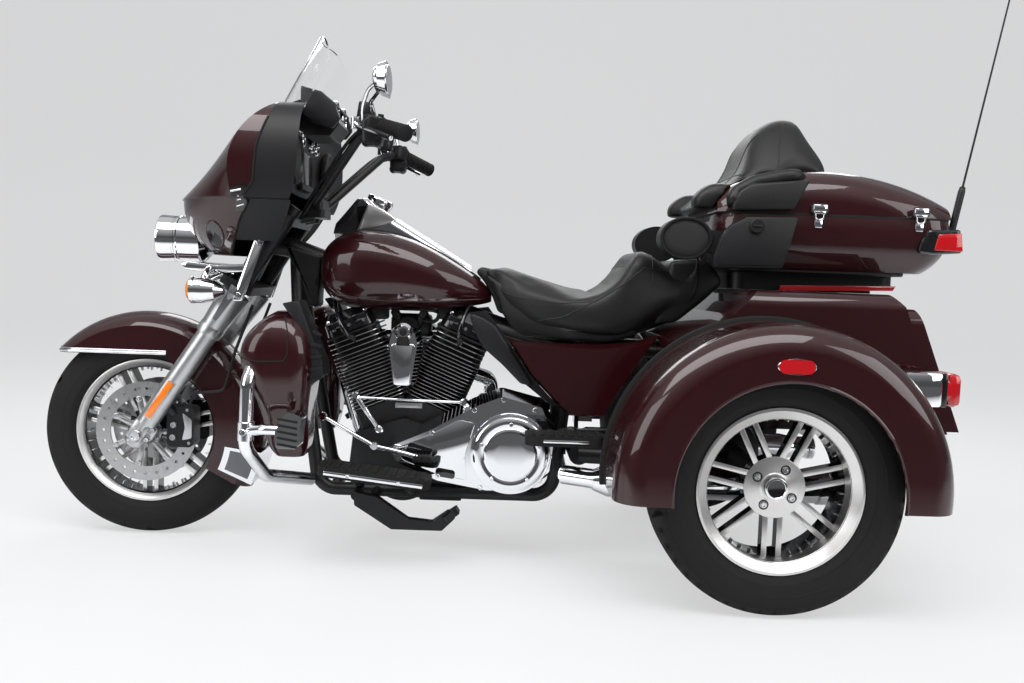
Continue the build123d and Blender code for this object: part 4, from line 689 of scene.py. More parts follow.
bm = bmesh.new()
for side in (-1, 1):
    axis = (0, side, 0)
    lathe(bm, [(44, 210.4), (48.4, 210.4), (48.9, 209), (48.9, 203.4), (47.6, 202), (38, 190.6),
               (36.8, 189.8)], FRONT_HUB, axis, 128)
    spoke_faces(bm, FRONT_HUB, side * 22.4, 66, 185, 12, 34)
    rim_ticks(bm, FRONT_HUB, side * 24, 186, 16)
settle("front_rim_faces", bm, "front_wheel", machined)
BOLT_RADIUS, BOLT_ANGLES = 50, (30, 120, 210, 300)
for name, side in SIDES:
    hub, axis, body = Vector((aft(0), side * REAR_Y, AXLE)), (0, side, 0), f"rear_wheel_{name}"
    arms = [Matrix.Rotation(math.radians(k), 3, "Y") @ Vector((BOLT_RADIUS, 0, 0)) for k in BOLT_ANGLES]
    bm = bmesh.new()
    lathe(bm, [(76.5, 202.4), (83.4, 202.4), (84, 201), (84, 195.6), (82.6, 194), (70, 175.4), (68, 173.4),
               (33, 173.4), (31, 172.4), (28.6, 172.4)], hub, axis, 128)
    lathe(bm, [(27.6, 76), (28.8, 75.4), (29.6, 73.5), (29.6, 38), (31.6, 35), (33, 33), (33, 27)], hub,
          axis, 96)
    spoke_faces(bm, hub, side * 26.6, 72, 172.6, 13.4, 36)
    rim_ticks(bm, hub, side * 12, 174, 26)
    settle(f"rear_rim_faces_{name}", bm, body, machined)
    bm = bmesh.new()
    lathe(bm, [(33, 0), (33, 28), (44, 27), (47, 24), (47.4, 18), (46.4, 16), (46.6, 0)], hub, axis, 64)
    for arm in arms:
        lathe(bm, [(29.8, 12.5), (30.4, 12.5), (30.4, 9), (29.8, 9)], hub + arm, axis, 24)
    settle(f"rear_hub_cap_{name}", bm, body, black_gloss)
    bm = bmesh.new()
    screws(bm, [hub + arm + Vector((0, side * 30, 0)) for arm in arms], axis, 8.4, 6)
    lathe(bm, [(44.5, 27), (47, 27), (47.8, 25.6), (47.8, 22.4), (47, 21.4), (45, 21.4)], hub, axis, 48)
    settle(f"rear_wheel_bolts_{name}", bm, body, chrome)
print("bright faces on 3 wheels")

# %% [markdown]
# Brake discs. A floating disc hangs on buttons round a carrier, which is screwed to the hub. The holes
# are in the solid, and here the carrier face, its screws and the buttons are added on both sides.

# %% Disc carriers and calipers
bm = bmesh.new()
for side in (-1, 1):
    axis = (0, side, 0)
    for k in range(SPOKE_PAIRS):
        turn = Matrix.Rotation(math.tau * k / SPOKE_PAIRS, 3, "Y")
        arm = turn @ Vector((96, side * 65.2, 0))
        lathe(bm, [(-1, 0), (-1, 9), (2, 9), (3, 7.6), (3, 4), (1.4, 3.4), (1.4, 0)], FRONT_HUB + arm, axis,
              16)
        put(bm, block((58, 3, 11), FRONT_HUB + turn @ Vector((70, side * 66, 0)), 1.2, turn))
        screws(bm, [FRONT_HUB + turn @ Vector((40, side * 66.4, 12))], axis, 6.4)
    lathe(bm, [(65, 47), (67.4, 46), (67.4, 32), (66, 30), (65, 28)], FRONT_HUB, axis, 64)
settle("disc_carriers", bm, "front_wheel", steel)
bm = bmesh.new()
put(bm, slab(fwds([(118, 292), (146, 298), (146, 352), (118, 372), (126, 330)]), -104.2, -3, 1.0, 5))
screws(bm, fwds([(94, -104.4, 336), (92, -104.4, 300)]), LEFT, 10)
screws(bm, fwds([(92, -104.4, 372), (138, -104.4, 284), (132, -104.4, 380)]), LEFT, 5)
settle("caliper_windows", bm, "steering", silver, both=True)
print("disc carriers and caliper windows")

# %% [markdown]
# Fork. The lower legs are cast alloy with a long amber reflector let into the outside. The upper covers
# taper and have a darker inset panel. The axle is held by a pinched clamp with two screws.

# %% Fork trim
FORK_LEAN = math.radians(33)
FORK_TURN = Matrix.Rotation(FORK_LEAN, 3, "Y")


def on_fork(z, y, ahead=0.0):
    # Place on the fork line at a height, moved square to it
    return Vector((fwd((z - AXLE) * math.tan(FORK_LEAN)), y, z)) + FORK_TURN @ Vector((ahead, 0, 0))


bm = bmesh.new()
put(bm, block((21, 7, 122), on_fork(412, -147, -2), 3.2, FORK_TURN))
settle("fork_reflectors", bm, "steering", amber_lens, both=True)
bm = bmesh.new()
put(bm, block((27, 6, 128), on_fork(412, -145.4, -2), 2.4, FORK_TURN))
lathe(bm, [(-3, 0), (-3, 36), (3, 36.6), (22, 36.6), (28, 34.4), (28, 31)], on_fork(606, -118),
      FORK_TURN @ UP, 40)
put(bm, block((50, 54, 62), on_fork(318, -120, -2), 9, FORK_TURN))
put(bm, block((30, 34, 40), on_fork(330, -112, 26), 7, FORK_TURN))
settle("fork_collars", bm, "steering", silver, both=True)
bm = bmesh.new()
for side in (-1, 1):
    screws(bm, [on_fork(340, side * 136, 30), on_fork(312, side * 136, 30)], (0, side, 0), 7)
    lathe(bm, [(-6, 0), (-6, 17), (4, 17), (8, 14), (8, 9), (4, 8), (4, 0)], (fwd(0), side * 150, AXLE),
          (0, side, 0), 24)
settle("fork_screws", bm, "steering", chrome)
bm = bmesh.new()
inset = slab([(-6, -52), (6, -52), (15, 60), (-15, 60)], 0, -5, 1.4)
bmesh.ops.transform(inset, matrix=Matrix.Translation(on_fork(690, -154.5)) @ FORK_TURN.to_4x4(),
                    verts=inset.verts)
put(bm, inset)
settle("fork_cover_insets", bm, "steering", grey_mesh, both=True)
print("fork trim")

# %% [markdown]
# Engine. The cylinders are painted black and the edges of their fins are then milled bright. Each bright
# edge is a thin band round the rim of a fin. Rocker covers get their screws and ribs, and the plug leads
# leave boots.

# %% Fin edges and engine screws
CRANK = Vector((fwd(757), 0, 235))
BANKS = (-22.5, 22.5)
CYL_FROM, CYL_TO, HEAD_TO = 196.0, 352.0, 424.0
FINS, HEAD_FINS = 15, 5


def bank_frame(angle, reach):
    # Frame square to a cylinder: local X to the rear, local Y to the right, local Z along the bore
    turn = Matrix.Rotation(math.radians(angle), 4, "Y")
    return Matrix.Translation(CRANK) @ turn @ Matrix.Translation((0, 0, reach))


def fin_edge(bm, frame_at, half_x, half_y, corner, low, high):
    # Band round the rim of one fin
    ring = bmesh.new()
    corners = ((-1, -1), (1, -1), (1, 1), (-1, 1))
    ring.faces.new([ring.verts.new((sx * half_x, sy * half_y, low)) for sx, sy in corners])
    bmesh.ops.bevel(ring, geom=ring.verts[:], offset=corner, segments=5, profile=0.5, affect="VERTICES",
                    material=-1)
    moved(bmesh.ops.extrude_face_region(ring, geom=ring.faces[:])["geom"], (0, 0, high - low), ring)
    bmesh.ops.transform(ring, matrix=frame_at, verts=ring.verts)
    put(bm, ring)


bm = bmesh.new()
for angle in BANKS:
    pitch = (CYL_TO - CYL_FROM) / FINS
    for k in range(FINS):
        fin_edge(bm, bank_frame(angle, CYL_FROM + 4 + k * pitch), 84.5, 92.5, 34, 1.0, 2.6)
    pitch = (HEAD_TO - CYL_TO) / HEAD_FINS
    for k in range(HEAD_FINS - 1):
        fin_edge(bm, bank_frame(angle, CYL_TO + 5 + k * pitch), 82.5, 100.5, 40, 1.6, 3.4)
bmesh.ops.bisect_plane(bm, geom=[*bm.verts, *bm.edges, *bm.faces], plane_co=CRANK, plane_no=BACK,
                       dist=CLOSE)
fins = settle("fin_edges", bm, "chassis", machined, 30)
bm = bmesh.new()
for angle in BANKS:
    at = bank_frame(angle, 0)
    screws(bm, [at @ Vector((x, y, 464)) for x in (-56, 56) for y in (-74, 74)], at.to_3x3() @ UP, 8)
    screws(bm, [at @ Vector((x, -93.5, 440)) for x in (-45, 0, 45)], at.to_3x3() @ LEFT, 5.4)
settle("rocker_screws", bm, "chassis", chrome)
bm = bmesh.new()
for angle in BANKS:
    at = bank_frame(angle, 0)
    for sx in (-38, 38):
        box = block((40, 9, 20), (sx, -97, 452), 3)
        bmesh.ops.transform(box, matrix=at, verts=box.verts)
        put(bm, box)
    boot = [at @ Vector((0, -100, 396)), at @ Vector((-10, -128, 410)), at @ Vector((-20, -120, 470)),
            at @ Vector((-18, -60, 520))]
    pipe(bm, boot, 6)
    lathe(bm, [(0, 0), (0, 9), (30, 9), (38, 7), (38, 0)], at @ Vector((0, -92, 394)),
          at.to_3x3() @ Vector((0, -1, 0.3)), 20)
settle("rocker_details", bm, "chassis", black_gloss)
print("fin edges", len(fins.data.polygons))

# %% [markdown]
# Induction. Between the heads sits a throttle body with two injectors and a fuel rail, under a tray for
# the wiring. A black cover hides the loom behind the steering head. A blank data plate is riveted to the
# crankcase, and the heat deflectors get a rounded face.

# %% Induction, neck cover and data plate
bm = bmesh.new()
put(bm, block((118, 96, 58), (fwd(762), 6, 648), 14))
put(bm, block((318, 84, 26), (fwd(742), 0, 700), 8))
lathe(bm, [(-70, 0), (-70, 30), (-62, 34), (-20, 34), (-18, 38), (-8, 38), (-6, 34), (40, 34), (40, 0)],
      (fwd(757), 0, 640), RIGHT, 40)
for x, lean in ((724, -0.5), (794, 0.5)):
    lathe(bm, [(-26, 0), (-26, 10), (0, 10), (2, 13), (22, 13), (24, 9), (38, 9), (38, 0)],
          (fwd(x), -52, 668), (lean, 0, 1), 20)
pipe(bm, fwds([(690, -56, 694), (757, -60, 698), (832, -56, 692)]), 7, 3)
pipe(bm, fwds([(800, -58, 660), (836, -66, 652), (850, -60, 690), (836, -40, 716)]), 6)
put(bm, block((52, 40, 40), (fwd(672), -46, 680), 8))
put(bm, block((46, 44, 36), (fwd(866), -46, 684), 8))
settle("induction_body", bm, "chassis", black_satin)
bm = bmesh.new()
NECK = [(392, 868), (496, 838), (492, 760), (488, 690), (440, 690), (428, 744), (412, 800)]
put(bm, slab(fwds(NECK), -48, 96, 10, 10))
settle("neck_cover", bm, "chassis", plastic)
bm = bmesh.new()
engine_skin = skin_of(nodes["engine_case"])
plate_at = engine_skin.ray_cast(Vector((fwd(768), -500, 414)), RIGHT)[0]
put(bm, block((78, 4, 15), plate_at, 1.4))
screws(bm, [plate_at + Vector((x, -2, 0)) for x in (-33, 33)], LEFT, 3)
settle("data_plate", bm, "chassis", silver)
bm = bmesh.new()
SHIELD = [(939, 686), (950, 691), (978, 681), (1013, 660), (1115, 510), (1121, 496), (1087, 501),
          (1034, 553), (981, 597), (957, 635)]
put(bm, slab(fwds(SHIELD), -194, -16, 6))
settle("deflector_faces", bm, "chassis", plastic, 60, both=True)
print("induction")

# %% [markdown]
# Pushrod tubes run up the right side of each cylinder from the cam cover. A domed cover with screws hides
# the cams.

# %% Cam side
bm = bmesh.new()
for angle in BANKS:
    at = bank_frame(angle, 0)
    for sx in (-20, 20):
        foot = CRANK + Vector((math.copysign(46, angle) + sx, 128, 86))
        head = at @ Vector((sx, 104, 430))
        way = head - foot
        long, mid = way.length, way.length * 0.5
        lathe(bm, [(-6, 0), (-6, 14), (10, 14), (10, 9), (mid, 9), (mid, 11), (mid + 16, 11), (mid + 16, 9),
                   (long - 12, 9), (long - 12, 13), (long, 13), (long, 0)], foot, way, 24)
lathe(bm, [(0, 0), (0, 92), (10, 92), (18, 84), (22, 60), (22, 40), (19, 38), (19, 0)],
      CRANK + Vector((0, 114, 0)), RIGHT, 72)
put(bm, slab(fwds([(690, 250), (690, 330), (824, 330), (824, 250)]), 114, 14, 4, 18))
CAM_SCREWS, CAM_RADIUS = (0.4, 1.4, 2.6, 3.7, 4.7, 5.7), 84
places = [Vector((CAM_RADIUS * math.cos(k), 130, CAM_RADIUS * math.sin(k))) for k in CAM_SCREWS]
screws(bm, [CRANK + place for place in places], RIGHT, 5)
settle("cam_cover", bm, "chassis", chrome)
print("cam cover")

# %% [markdown]
# Primary side. The chrome cover carries a raised panel, two black plugs and a ring of screws. The round
# clutch cover has a rolled rim, a shallow step and five screws, and its middle stays plain and polished.

# %% Primary and clutch covers
CLUTCH = Vector((fwd(1065), -244.6, 307))
bm = bmesh.new()
lathe(bm, [(-14, 108), (-13, 110.6), (-8, 111.4), (-4, 110), (-3.4, 104), (-2, 102), (0.6, 96), (1.6, 90),
           (1.6, 78), (0.6, 76), (0.4, 74)], CLUTCH, LEFT, 96)
lathe(bm, [(0, 75), (2.6, 72), (3.8, 64), (4.4, 40), (4.6, 0)], CLUTCH, LEFT, 96)
turns = [Matrix.Rotation(math.tau * (k + 0.75) / 5, 3, "Y") for k in range(5)]
screws(bm, [CLUTCH + turn @ Vector((84, -1, 0)) for turn in turns], LEFT, 6)
PRIMARY_SCREWS = [(748, 292), (866, 236), (985, 206), (1150, 232), (1176, 300), (1130, 430), (1042, 456),
                  (962, 424), (846, 356)]
screws(bm, [(fwd(x), -213.6, z) for x, z in PRIMARY_SCREWS], LEFT, 7)
put(bm, slab(fwds([(742, 310), (768, 276), (872, 238), (946, 226), (940, 300), (966, 388), (920, 396),
                   (842, 352)]), -211, -5, 2, 10))
settle("primary_trim", bm, "chassis", chrome)
bm = bmesh.new()
put(bm, slab(fwds([(858, 236), (912, 228), (914, 252), (860, 260)]), -214.6, -3.4, 1, 8))
put(bm, slab(fwds([(772, 300), (846, 286), (850, 312), (784, 330)]), -214.6, -3.2, 1, 8))
settle("primary_plugs", bm, "chassis", black_gloss)
print("primary and clutch trim")

# %% [markdown]
# Shift linkage. A polished rod runs back from the heel lever to the gearbox, with ball joints at its
# ends. The horn cover hangs from a domed acorn nut.

# %% Linkage and horn cover
bm = bmesh.new()
ROD, HORN_NUT = fwds([(546, -236, 396), (620, -240, 356), (690, -240, 318)]), (fwd(757), -196, 634)
pipe(bm, ROD, 5.5, 2)
for place in (ROD[0], ROD[2]):
    lathe(bm, [(-8, 0), (-8, 9), (-3, 12), (3, 12), (8, 9), (8, 0)], place, RIGHT, 20)
pipe(bm, fwds([(690, -240, 318), (760, -244, 306), (812, -262, 296)]), 7, 3)
pipe(bm, fwds([(633, -150, 440), (780, -158, 438), (930, -150, 436)]), 4, 2)
pipe(bm, fwds([(622, -150, 446), (656, -156, 400), (690, -146, 350)]), 7, 2)
for place in ((fwd(622), -156, 446), (fwd(930), -154, 436), (fwd(690), -150, 350)):
    lathe(bm, [(-9, 0), (-9, 12), (4, 12), (8, 8), (8, 0)], place, LEFT, 20)
lathe(bm, [(-24, 0), (-24, 26), (0, 27), (8, 24), (14, 17), (14, 0)], HORN_NUT, LEFT, 40)
put(bm, slab(fwds([(734, 484), (780, 484), (790, 600), (724, 600)]), -201, -6, 3, 8))
settle("linkage_and_horn_trim", bm, "chassis", chrome)
bm = bmesh.new()
lathe(bm, [(10, 0), (10, 11), (15, 11), (17, 8), (17, 0)], HORN_NUT, LEFT, 32)
put(bm, slab(fwds([(738, 596), (776, 596), (772, 622), (742, 622)]), -204, -8, 3, 4))
put(bm, block((52, 40, 16), (fwd(824), -262, 292), 5))
for k in range(5):
    put(bm, block((5, 42, 4), (fwd(806 + 9 * k), -262, 300), 1.2))
settle("shift_pad", bm, "chassis", rubber)
print("linkage")

# %% [markdown]
# Headlamp. A chrome bucket with a rolled bezel holds a clear lens. Behind the lens a bright reflector,
# four small projector lenses and a cross bar give it depth. The bar below it carries the turn signals,
# and a strap runs down each fork cover.

# %% Headlamp and light bar
LAMP = Vector((fwd(16), 0, 874))
bm = bmesh.new()
lathe(bm, [(46, 66.6), (18, 68), (8, 69), (3, 68), (0.6, 64), (0.8, 60.4), (6, 59.6), (12, 59)], LAMP, BACK,
      96)
lathe(bm, [(52, 66.3), (54, 68), (60, 68), (62, 66.3)], LAMP, BACK, 96)
lathe(bm, [(14.2, 0), (14.2, 58)], LAMP, BACK, 64)
settle("headlamp_bezel", bm, "steering", chrome)
bm = bmesh.new()
for y, z in ((-24, 14), (24, 14), (-24, -20), (24, -20)):
    lathe(bm, [(13.6, 20), (9, 19), (5.6, 13), (4.4, 0)], LAMP + Vector((0, y, z)), BACK, 32)
put(bm, block((6, 108, 6), LAMP + Vector((11, 0, -3)), 1.6))
settle("headlamp_projectors", bm, "steering", mirror_glass)
bm = bmesh.new()
put(bm, slab(fwds([(127, 800), (146, 808), (230, 800), (306, 806), (306, 784), (226, 776), (140, 784)]),
             -168, 336, 4))
for side in (-1, 1):
    put(bm, slab(fwds([(338, 884), (366, 884), (304, 702), (274, 702)]), side * 172, side * 6, 2, 8))
    screws(bm, fwds([(350, side * 178, 868), (292, side * 178, 718)]), (0, side, 0), 9)
    lathe(bm, [(-4, 34.4), (-3, 37), (5, 37.4), (7, 36.2)], (fwd(178), side * 212, 730), BACK, 48)
    pipe(bm, fwds([(206, side * 212, 748), (220, side * 196, 762), (240, side * 172, 772)]), 9)
settle("light_bar_trim", bm, "steering", chrome)
print("headlamp")

# %% [markdown]
# Fairing. The painted shell meets the black inner panel at a rubber bead. Each side has an air slot with
# bright louvres and an oval recess with a painted rim. The slot and the recess are black nets laid on the
# shell, painted shade that stands in for their depth. The clear screen stands in a black strip with three
# screws.

# %% Fairing trim
outer_skin, inner_skin = skin_of(nodes["fairing_outer"]), skin_of(nodes["fairing_inner"])
SEAM_SIDE = [(256, 823), (306, 926), (370, 1020), (378, 1110), (402, 1190)]
bm = bmesh.new()
pipe(bm, from_left(outer_skin, fwds(SEAM_SIDE)), 3.2)
settle("fairing_bead", bm, "steering", rubber, both=True)
bm = bmesh.new()
# Black nets for the air slot and the oval recess: painted shade in place of their depth
VENT = [(298, 948), (324, 948), (356, 1012), (312, 1004)]
patch_on(bm, outer_skin, fwds(VENT), 3.0)
patch_on(bm, outer_skin, fwds([(197, 850), (247, 850), (247, 918), (197, 918)]), 2.4, True)
settle("fairing_slot_and_recess_shade", bm, "steering", black_gloss, both=True)
bm = bmesh.new()
for k in range(3):
    line = from_left(outer_skin, fwds([(306 + 3 * k, 960 + 16 * k), (326 + 7 * k, 966 + 16 * k)]), 5)
    pipe(bm, [place + LEFT * 3 for place in line], 2.6)
settle("fairing_louvres", bm, "steering", chrome, both=True)
bm = bmesh.new()
RECESS = [(fwd(222 + 27 * math.cos(k)), 884 + 36 * math.sin(k)) for k in np.linspace(0, math.tau, 25)]
pipe(bm, from_left(outer_skin, RECESS, 2), 3.2)
settle("fairing_recess_rims", bm, "steering", paint, both=True)
bm = bmesh.new()
shield_skin = skin_of(nodes["windshield"])
STRIP_Y = (-172, -150, -110, -60, 0, 60, 110, 150, 172)
foot = [(fwd(100), y, 1232 + 26 * (y / 176) ** 2) for y in STRIP_Y]
pipe(bm, drawn_on(shield_skin, foot, BACK, 3), 6.5)
settle("shield_strip", bm, "steering", black_satin)
bm = bmesh.new()
for y in (-120, 0, 120):
    screws(bm, [shield_skin.ray_cast(Vector((fwd(100), y, 1246)), BACK)[0]], (-1, 0, 0.5), 8)
settle("shield_screws", bm, "steering", chrome)
print("fairing trim")

# %% [markdown]
# Instruments. The rider faces a hollow black panel: two round speakers behind grilles at the sides, a row
# of round dials in chrome rings under a hood, and a dark flat display between them.

# %% Dash
GRILLE_AT, DISPLAY_Z = [(-235, 1098), (235, 1098)], 1090
DIALS = [(-62, 1246, 36), (62, 1246, 36), (-118, 1166, 24), (118, 1166, 24), (-66, 1166, 20),
         (66, 1166, 20)]


def dash_hit(y, z):
    # Place where the rider's line of sight meets the panel
    return inner_skin.ray_cast(Vector((fwd(900), y, z)), AHEAD)[0]


rings, faces, cloths, hood = bmesh.new(), bmesh.new(), bmesh.new(), bmesh.new()
for y, z in GRILLE_AT:
    at = dash_hit(y, z)
    lathe(hood, [(-6, 72), (4, 72), (9, 69), (10, 64), (6, 61), (-4, 60)], at, BACK, 64)
    lathe(cloths, [(-2, 61), (3, 60), (6, 40), (7, 0)], at, BACK, 64)
for y, z, radius in DIALS:
    at = dash_hit(y, z)
    lathe(rings, [(-8, radius), (5, radius), (8, radius - 2), (8, radius - 5), (4, radius - 6)], at, BACK,
          48)
    lathe(faces, [(2, radius - 5), (4.6, radius - 6), (4.6, 4), (7, 3.4), (7, 0)], at, BACK, 48)
    hand = at + Vector((6, radius * 0.3, radius * 0.24))
    put(faces, block((1.6, radius * 0.9, 2.2), hand, 0.5, Matrix.Rotation(0.7, 3, "X")))
put(faces, block((12, 150, 92), dash_hit(0, DISPLAY_Z) + Vector((3, 0, 0)), 5))
HOOD = [(441, 1312), (498, 1299), (537, 1268), (553, 1224), (533, 1196), (479, 1210), (440, 1240)]
for y in (-120, 106):
    put(hood, slab(fwds(HOOD), y, 14, 3, 6))
ROOF = [(441, 1312), (498, 1299), (541, 1266), (541, 1258), (496, 1288), (441, 1300)]
put(hood, slab(fwds(ROOF), -119, 238, 3))
settle("dash_hood", hood, "steering", black_satin)
settle("dash_rings", rings, "steering", chrome)
settle("dash_faces", faces, "steering", dial_face)
settle("dash_grilles", cloths, "steering", speaker_cloth)
bm = bmesh.new()
for k in range(6):
    put(bm, block((12, 15, 11), dash_hit(-50 + 20 * k, 1030) + Vector((4, 0, 0)), 3))
for k in range(4):
    put(bm, block((8, 170, 5), dash_hit(0, DISPLAY_Z) + Vector((9, 0, -62 + 4 * k)), 1.5))
settle("dash_switches", bm, "steering", black_satin)
print("dash", len(DIALS), "dials")

# %% [markdown]
# Handlebar. Ribbed rubber grips, switch housings with small buttons and cables along the bar, levers on
# chrome perches, curved mirror stalks, and mirror panes in a polished shell.

# %% Controls on the bar
GRIP_FROM, GRIP_TO = Vector((fwd(690), -318, 1178)), Vector((fwd(771), -412, 1147))
WAY = (GRIP_TO - GRIP_FROM).normalized()
ALONG = WAY.to_track_quat("Z", "X").to_matrix()
bm = bmesh.new()
for k in range(9):
    at = 12 + k * 11.5
    lathe(bm, [(at, 19.6), (at + 1, 21.4), (at + 6.5, 21.4), (at + 7.5, 19.6)], GRIP_FROM, WAY, 40)
lathe(bm, [(-1, 19.5), (-1, 24), (3, 25), (6, 23.6), (7, 19.6)], GRIP_FROM, WAY, 40)
lathe(bm, [(-9, 19.6), (-8, 21.8), (-3, 21.8), (0.6, 15), (0.6, 0)], GRIP_TO, WAY, 40)
settle("grip_ribs", bm, "steering", rubber, both=True)
bm = bmesh.new()
# Size of each block, how far it lies inward of the grip, its shift and its bevel
SWITCHES = [
    ((48, 54, 46), 26, (0, 0, 0), 10), ((44, 30, 58), 30, (-16, 0, -6), 8),
    ((14, 14, 12), 22, (16, -6, 20), 3), ((10, 10, 18), 34, (22, 0, 2), 3),
    ((20, 9, 9), 16, (14, 0, -20), 3), ((64, 40, 22), 62, (-8, 12, 24), 7),
]
for size, inward, shift, bevel in SWITCHES:
    put(bm, block(size, GRIP_FROM - WAY * inward + Vector(shift), bevel, ALONG))
HOUSING = [(648, 1126), (646, 1188), (668, 1206), (698, 1196), (704, 1152), (694, 1124)]
put(bm, slab(fwds(HOUSING), -342, 54, 9, 8))
pipe(bm, fwds([(640, -262, 1176), (612, -243, 1168), (540, -168, 1083), (466, -91, 996), (446, -70, 966)]),
     5)
pipe(bm, fwds([(646, -268, 1162), (619, -251, 1155), (546, -175, 1069), (473, -99, 983), (450, -80, 956)]),
     4)
settle("switch_housings", bm, "steering", black_satin, both=True)
bm = bmesh.new()
perch = GRIP_FROM - WAY * 62
put(bm, block((34, 32, 26), perch + Vector((-10, 0, -2)), 7, ALONG))
lathe(bm, [(-14, 0), (-14, 10), (14, 10), (17, 7), (17, 0)], perch + Vector((-32, -4, -4)), UP, 24)
LEVER = (((-32, -4, -4), 0), ((-46, 0, -8), 40), ((-52, 0, -10), 110), ((-44, 0, -12), 200))
pipe(bm, [perch + Vector(shift) + WAY * outward for shift, outward in LEVER], 6.4)
pipe(bm, fwds([(648, -322, 1186), (646, -336, 1208), (654, -356, 1236), (674, -390, 1268),
               (704, -414, 1274)]), 5.4)
settle("lever_perches", bm, "steering", chrome, both=True)
MIRROR = Vector((fwd(722), -420, 1276))


def oval(bm, centre, half_y, half_z, x, depth, bevel):
    # Upright oval plate that faces the rear
    part = bmesh.new()
    bmesh.ops.create_circle(part, cap_ends=True, radius=1.0, segments=48)
    bmesh.ops.scale(part, vec=(half_y, half_z, 1), verts=part.verts)
    moved(bmesh.ops.extrude_face_region(part, geom=part.faces[:])["geom"], (0, 0, depth), part)
    rim = [e for e in part.edges if all(abs(v.co.z - depth) < 0.01 for v in e.verts)]
    bmesh.ops.bevel(part, geom=rim, offset=bevel, segments=3, profile=0.5, affect="EDGES", material=-1)
    turn = Matrix(((0, 0, 1), (1, 0, 0), (0, 1, 0))).to_4x4()
    bmesh.ops.transform(part, matrix=Matrix.Translation((x, centre[1], centre[2])) @ turn, verts=part.verts)
    put(bm, part)


bm = bmesh.new()
oval(bm, MIRROR, 68, 35, MIRROR.x + 0.4, 3, 1.5)
settle("mirror_panes", bm, "steering", mirror_glass, both=True)
bm = bmesh.new()
oval(bm, MIRROR, 64, 31, MIRROR.x - 19, -13, 9)
settle("mirror_shells", bm, "steering", chrome, both=True)
print("bar controls")

# %% [markdown]
# Tank and console. A welded seam runs along the foot of the tank and a rubber strip lies beside the
# console. The console has a black nose between bright cheeks, a wide dial in a chrome ring, a small door
# and a chrome rib.

# %% Tank and console trim
tank_skin, console_skin = skin_of(nodes["fuel_tank"]), skin_of(nodes["tank_console"])
bm = bmesh.new()
TANK_FOOT = [(512, 764), (560, 728), (680, 716), (820, 718), (900, 724), (975, 730)]
pipe(bm, from_left(tank_skin, fwds(TANK_FOOT)), 2.2)
settle("tank_seam", bm, "chassis", paint, both=True)
bm = bmesh.new()
BESIDE = [(560, -62), (620, -68), (700, -64), (800, -52), (900, -40), (960, -30)]
pipe(bm, drawn_on(tank_skin, [(fwd(x), y, 1200) for x, y in BESIDE], DOWN), 4)
settle("console_rubber", bm, "chassis", rubber, both=True)
bm = bmesh.new()
NOSE = [(530, 902), (536, 930), (598, 1008), (614, 1010), (634, 991), (610, 926), (600, 902)]
put(bm, slab(fwds(NOSE), 58, -116, 5))
settle("console_nose", bm, "chassis", black_gloss)
bm = bmesh.new()
CHEEK = [(606, 918), (632, 996), (676, 978), (712, 950), (684, 938), (652, 922)]
put(bm, slab(fwds(CHEEK), 60, -120, 5))
settle("console_cheeks", bm, "chassis", machined)
bm = bmesh.new()
CAP_AXIS = Vector((0.4, 0, 1)).normalized()
CAP = Vector((fwd(640), 0, 960)) + CAP_AXIS * 56
lathe(bm, [(-16, 38), (-10, 39.4), (-2, 39), (2, 36), (3, 33), (0.5, 31), (0.5, 0)], CAP, CAP_AXIS, 64)
pipe(bm, drawn_on(console_skin, [(fwd(x), 0, 1200) for x in (706, 760, 820, 880, 930)], DOWN), 6)
put(bm, block((40, 30, 5), Vector((fwd(780), 0, 909)), 2, Matrix.Rotation(math.radians(31), 3, "Y")))
settle("console_trim", bm, "chassis", chrome)
bm = bmesh.new()
lathe(bm, [(0.8, 30), (1.6, 29), (1.6, 3), (3.4, 2.6), (3.4, 0)], CAP, CAP_AXIS, 64)
settle("console_dial", bm, "chassis", dial_face)
print("tank and console trim")

# %% [markdown]
# Leg shields. Each painted shield ends in a black air duct toward the engine and has a small glove door
# with a fine gap round it. The forward pegs carry rubber ribs in a chrome shell.

# %% Leg shields and pegs
bm = bmesh.new()
GLOVE_DOOR = [(350, 562), (400, 555), (468, 558), (478, 575), (476, 634), (463, 672)]
pipe(bm, from_left(skin_of(nodes["leg_shields"]), fwds(GLOVE_DOOR), 6), 1.8)
settle("glove_door_gap", bm, "chassis", rubber, both=True)
bm = bmesh.new()
DUCT = [(452, 706), (496, 716), (560, 560), (566, 520), (500, 470), (512, 520), (508, 600), (484, 662)]
put(bm, slab(fwds(DUCT), -350, 100, 5))
for k in range(5):
    put(bm, slab(fwds([(520 + 4 * k, 496 + 34 * k), (560, 524 + 28 * k - 14), (560, 532 + 28 * k - 14),
                       (520 + 4 * k, 504 + 34 * k)]), -352, -3, 1))
settle("leg_shield_ducts", bm, "chassis", plastic, both=True)
bm = bmesh.new()
for k in range(5):
    put(bm, slab(fwds([(472, 352 + 16 * k), (472, 358 + 16 * k), (522, 350 + 16 * k), (522, 344 + 16 * k)]),
                 -456.4, -3.4, 1))
settle("peg_ribs", bm, "chassis", rubber, both=True)
bm = bmesh.new()
lathe(bm, [(-24, 0), (-24, 21), (24, 21), (26, 18), (26, 0)], (fwd(374), -384, 372), (0.02, 0, 1), 32)
screws(bm, [(fwd(372), -405, 372)], LEFT, 9)
settle("guard_clamps", bm, "chassis", chrome, both=True)
print("leg shields")

# %% [markdown]
# Foot boards. A thick ribbed rubber mat lies on each board, and the rider's boards have a chrome edge
# along the outside.

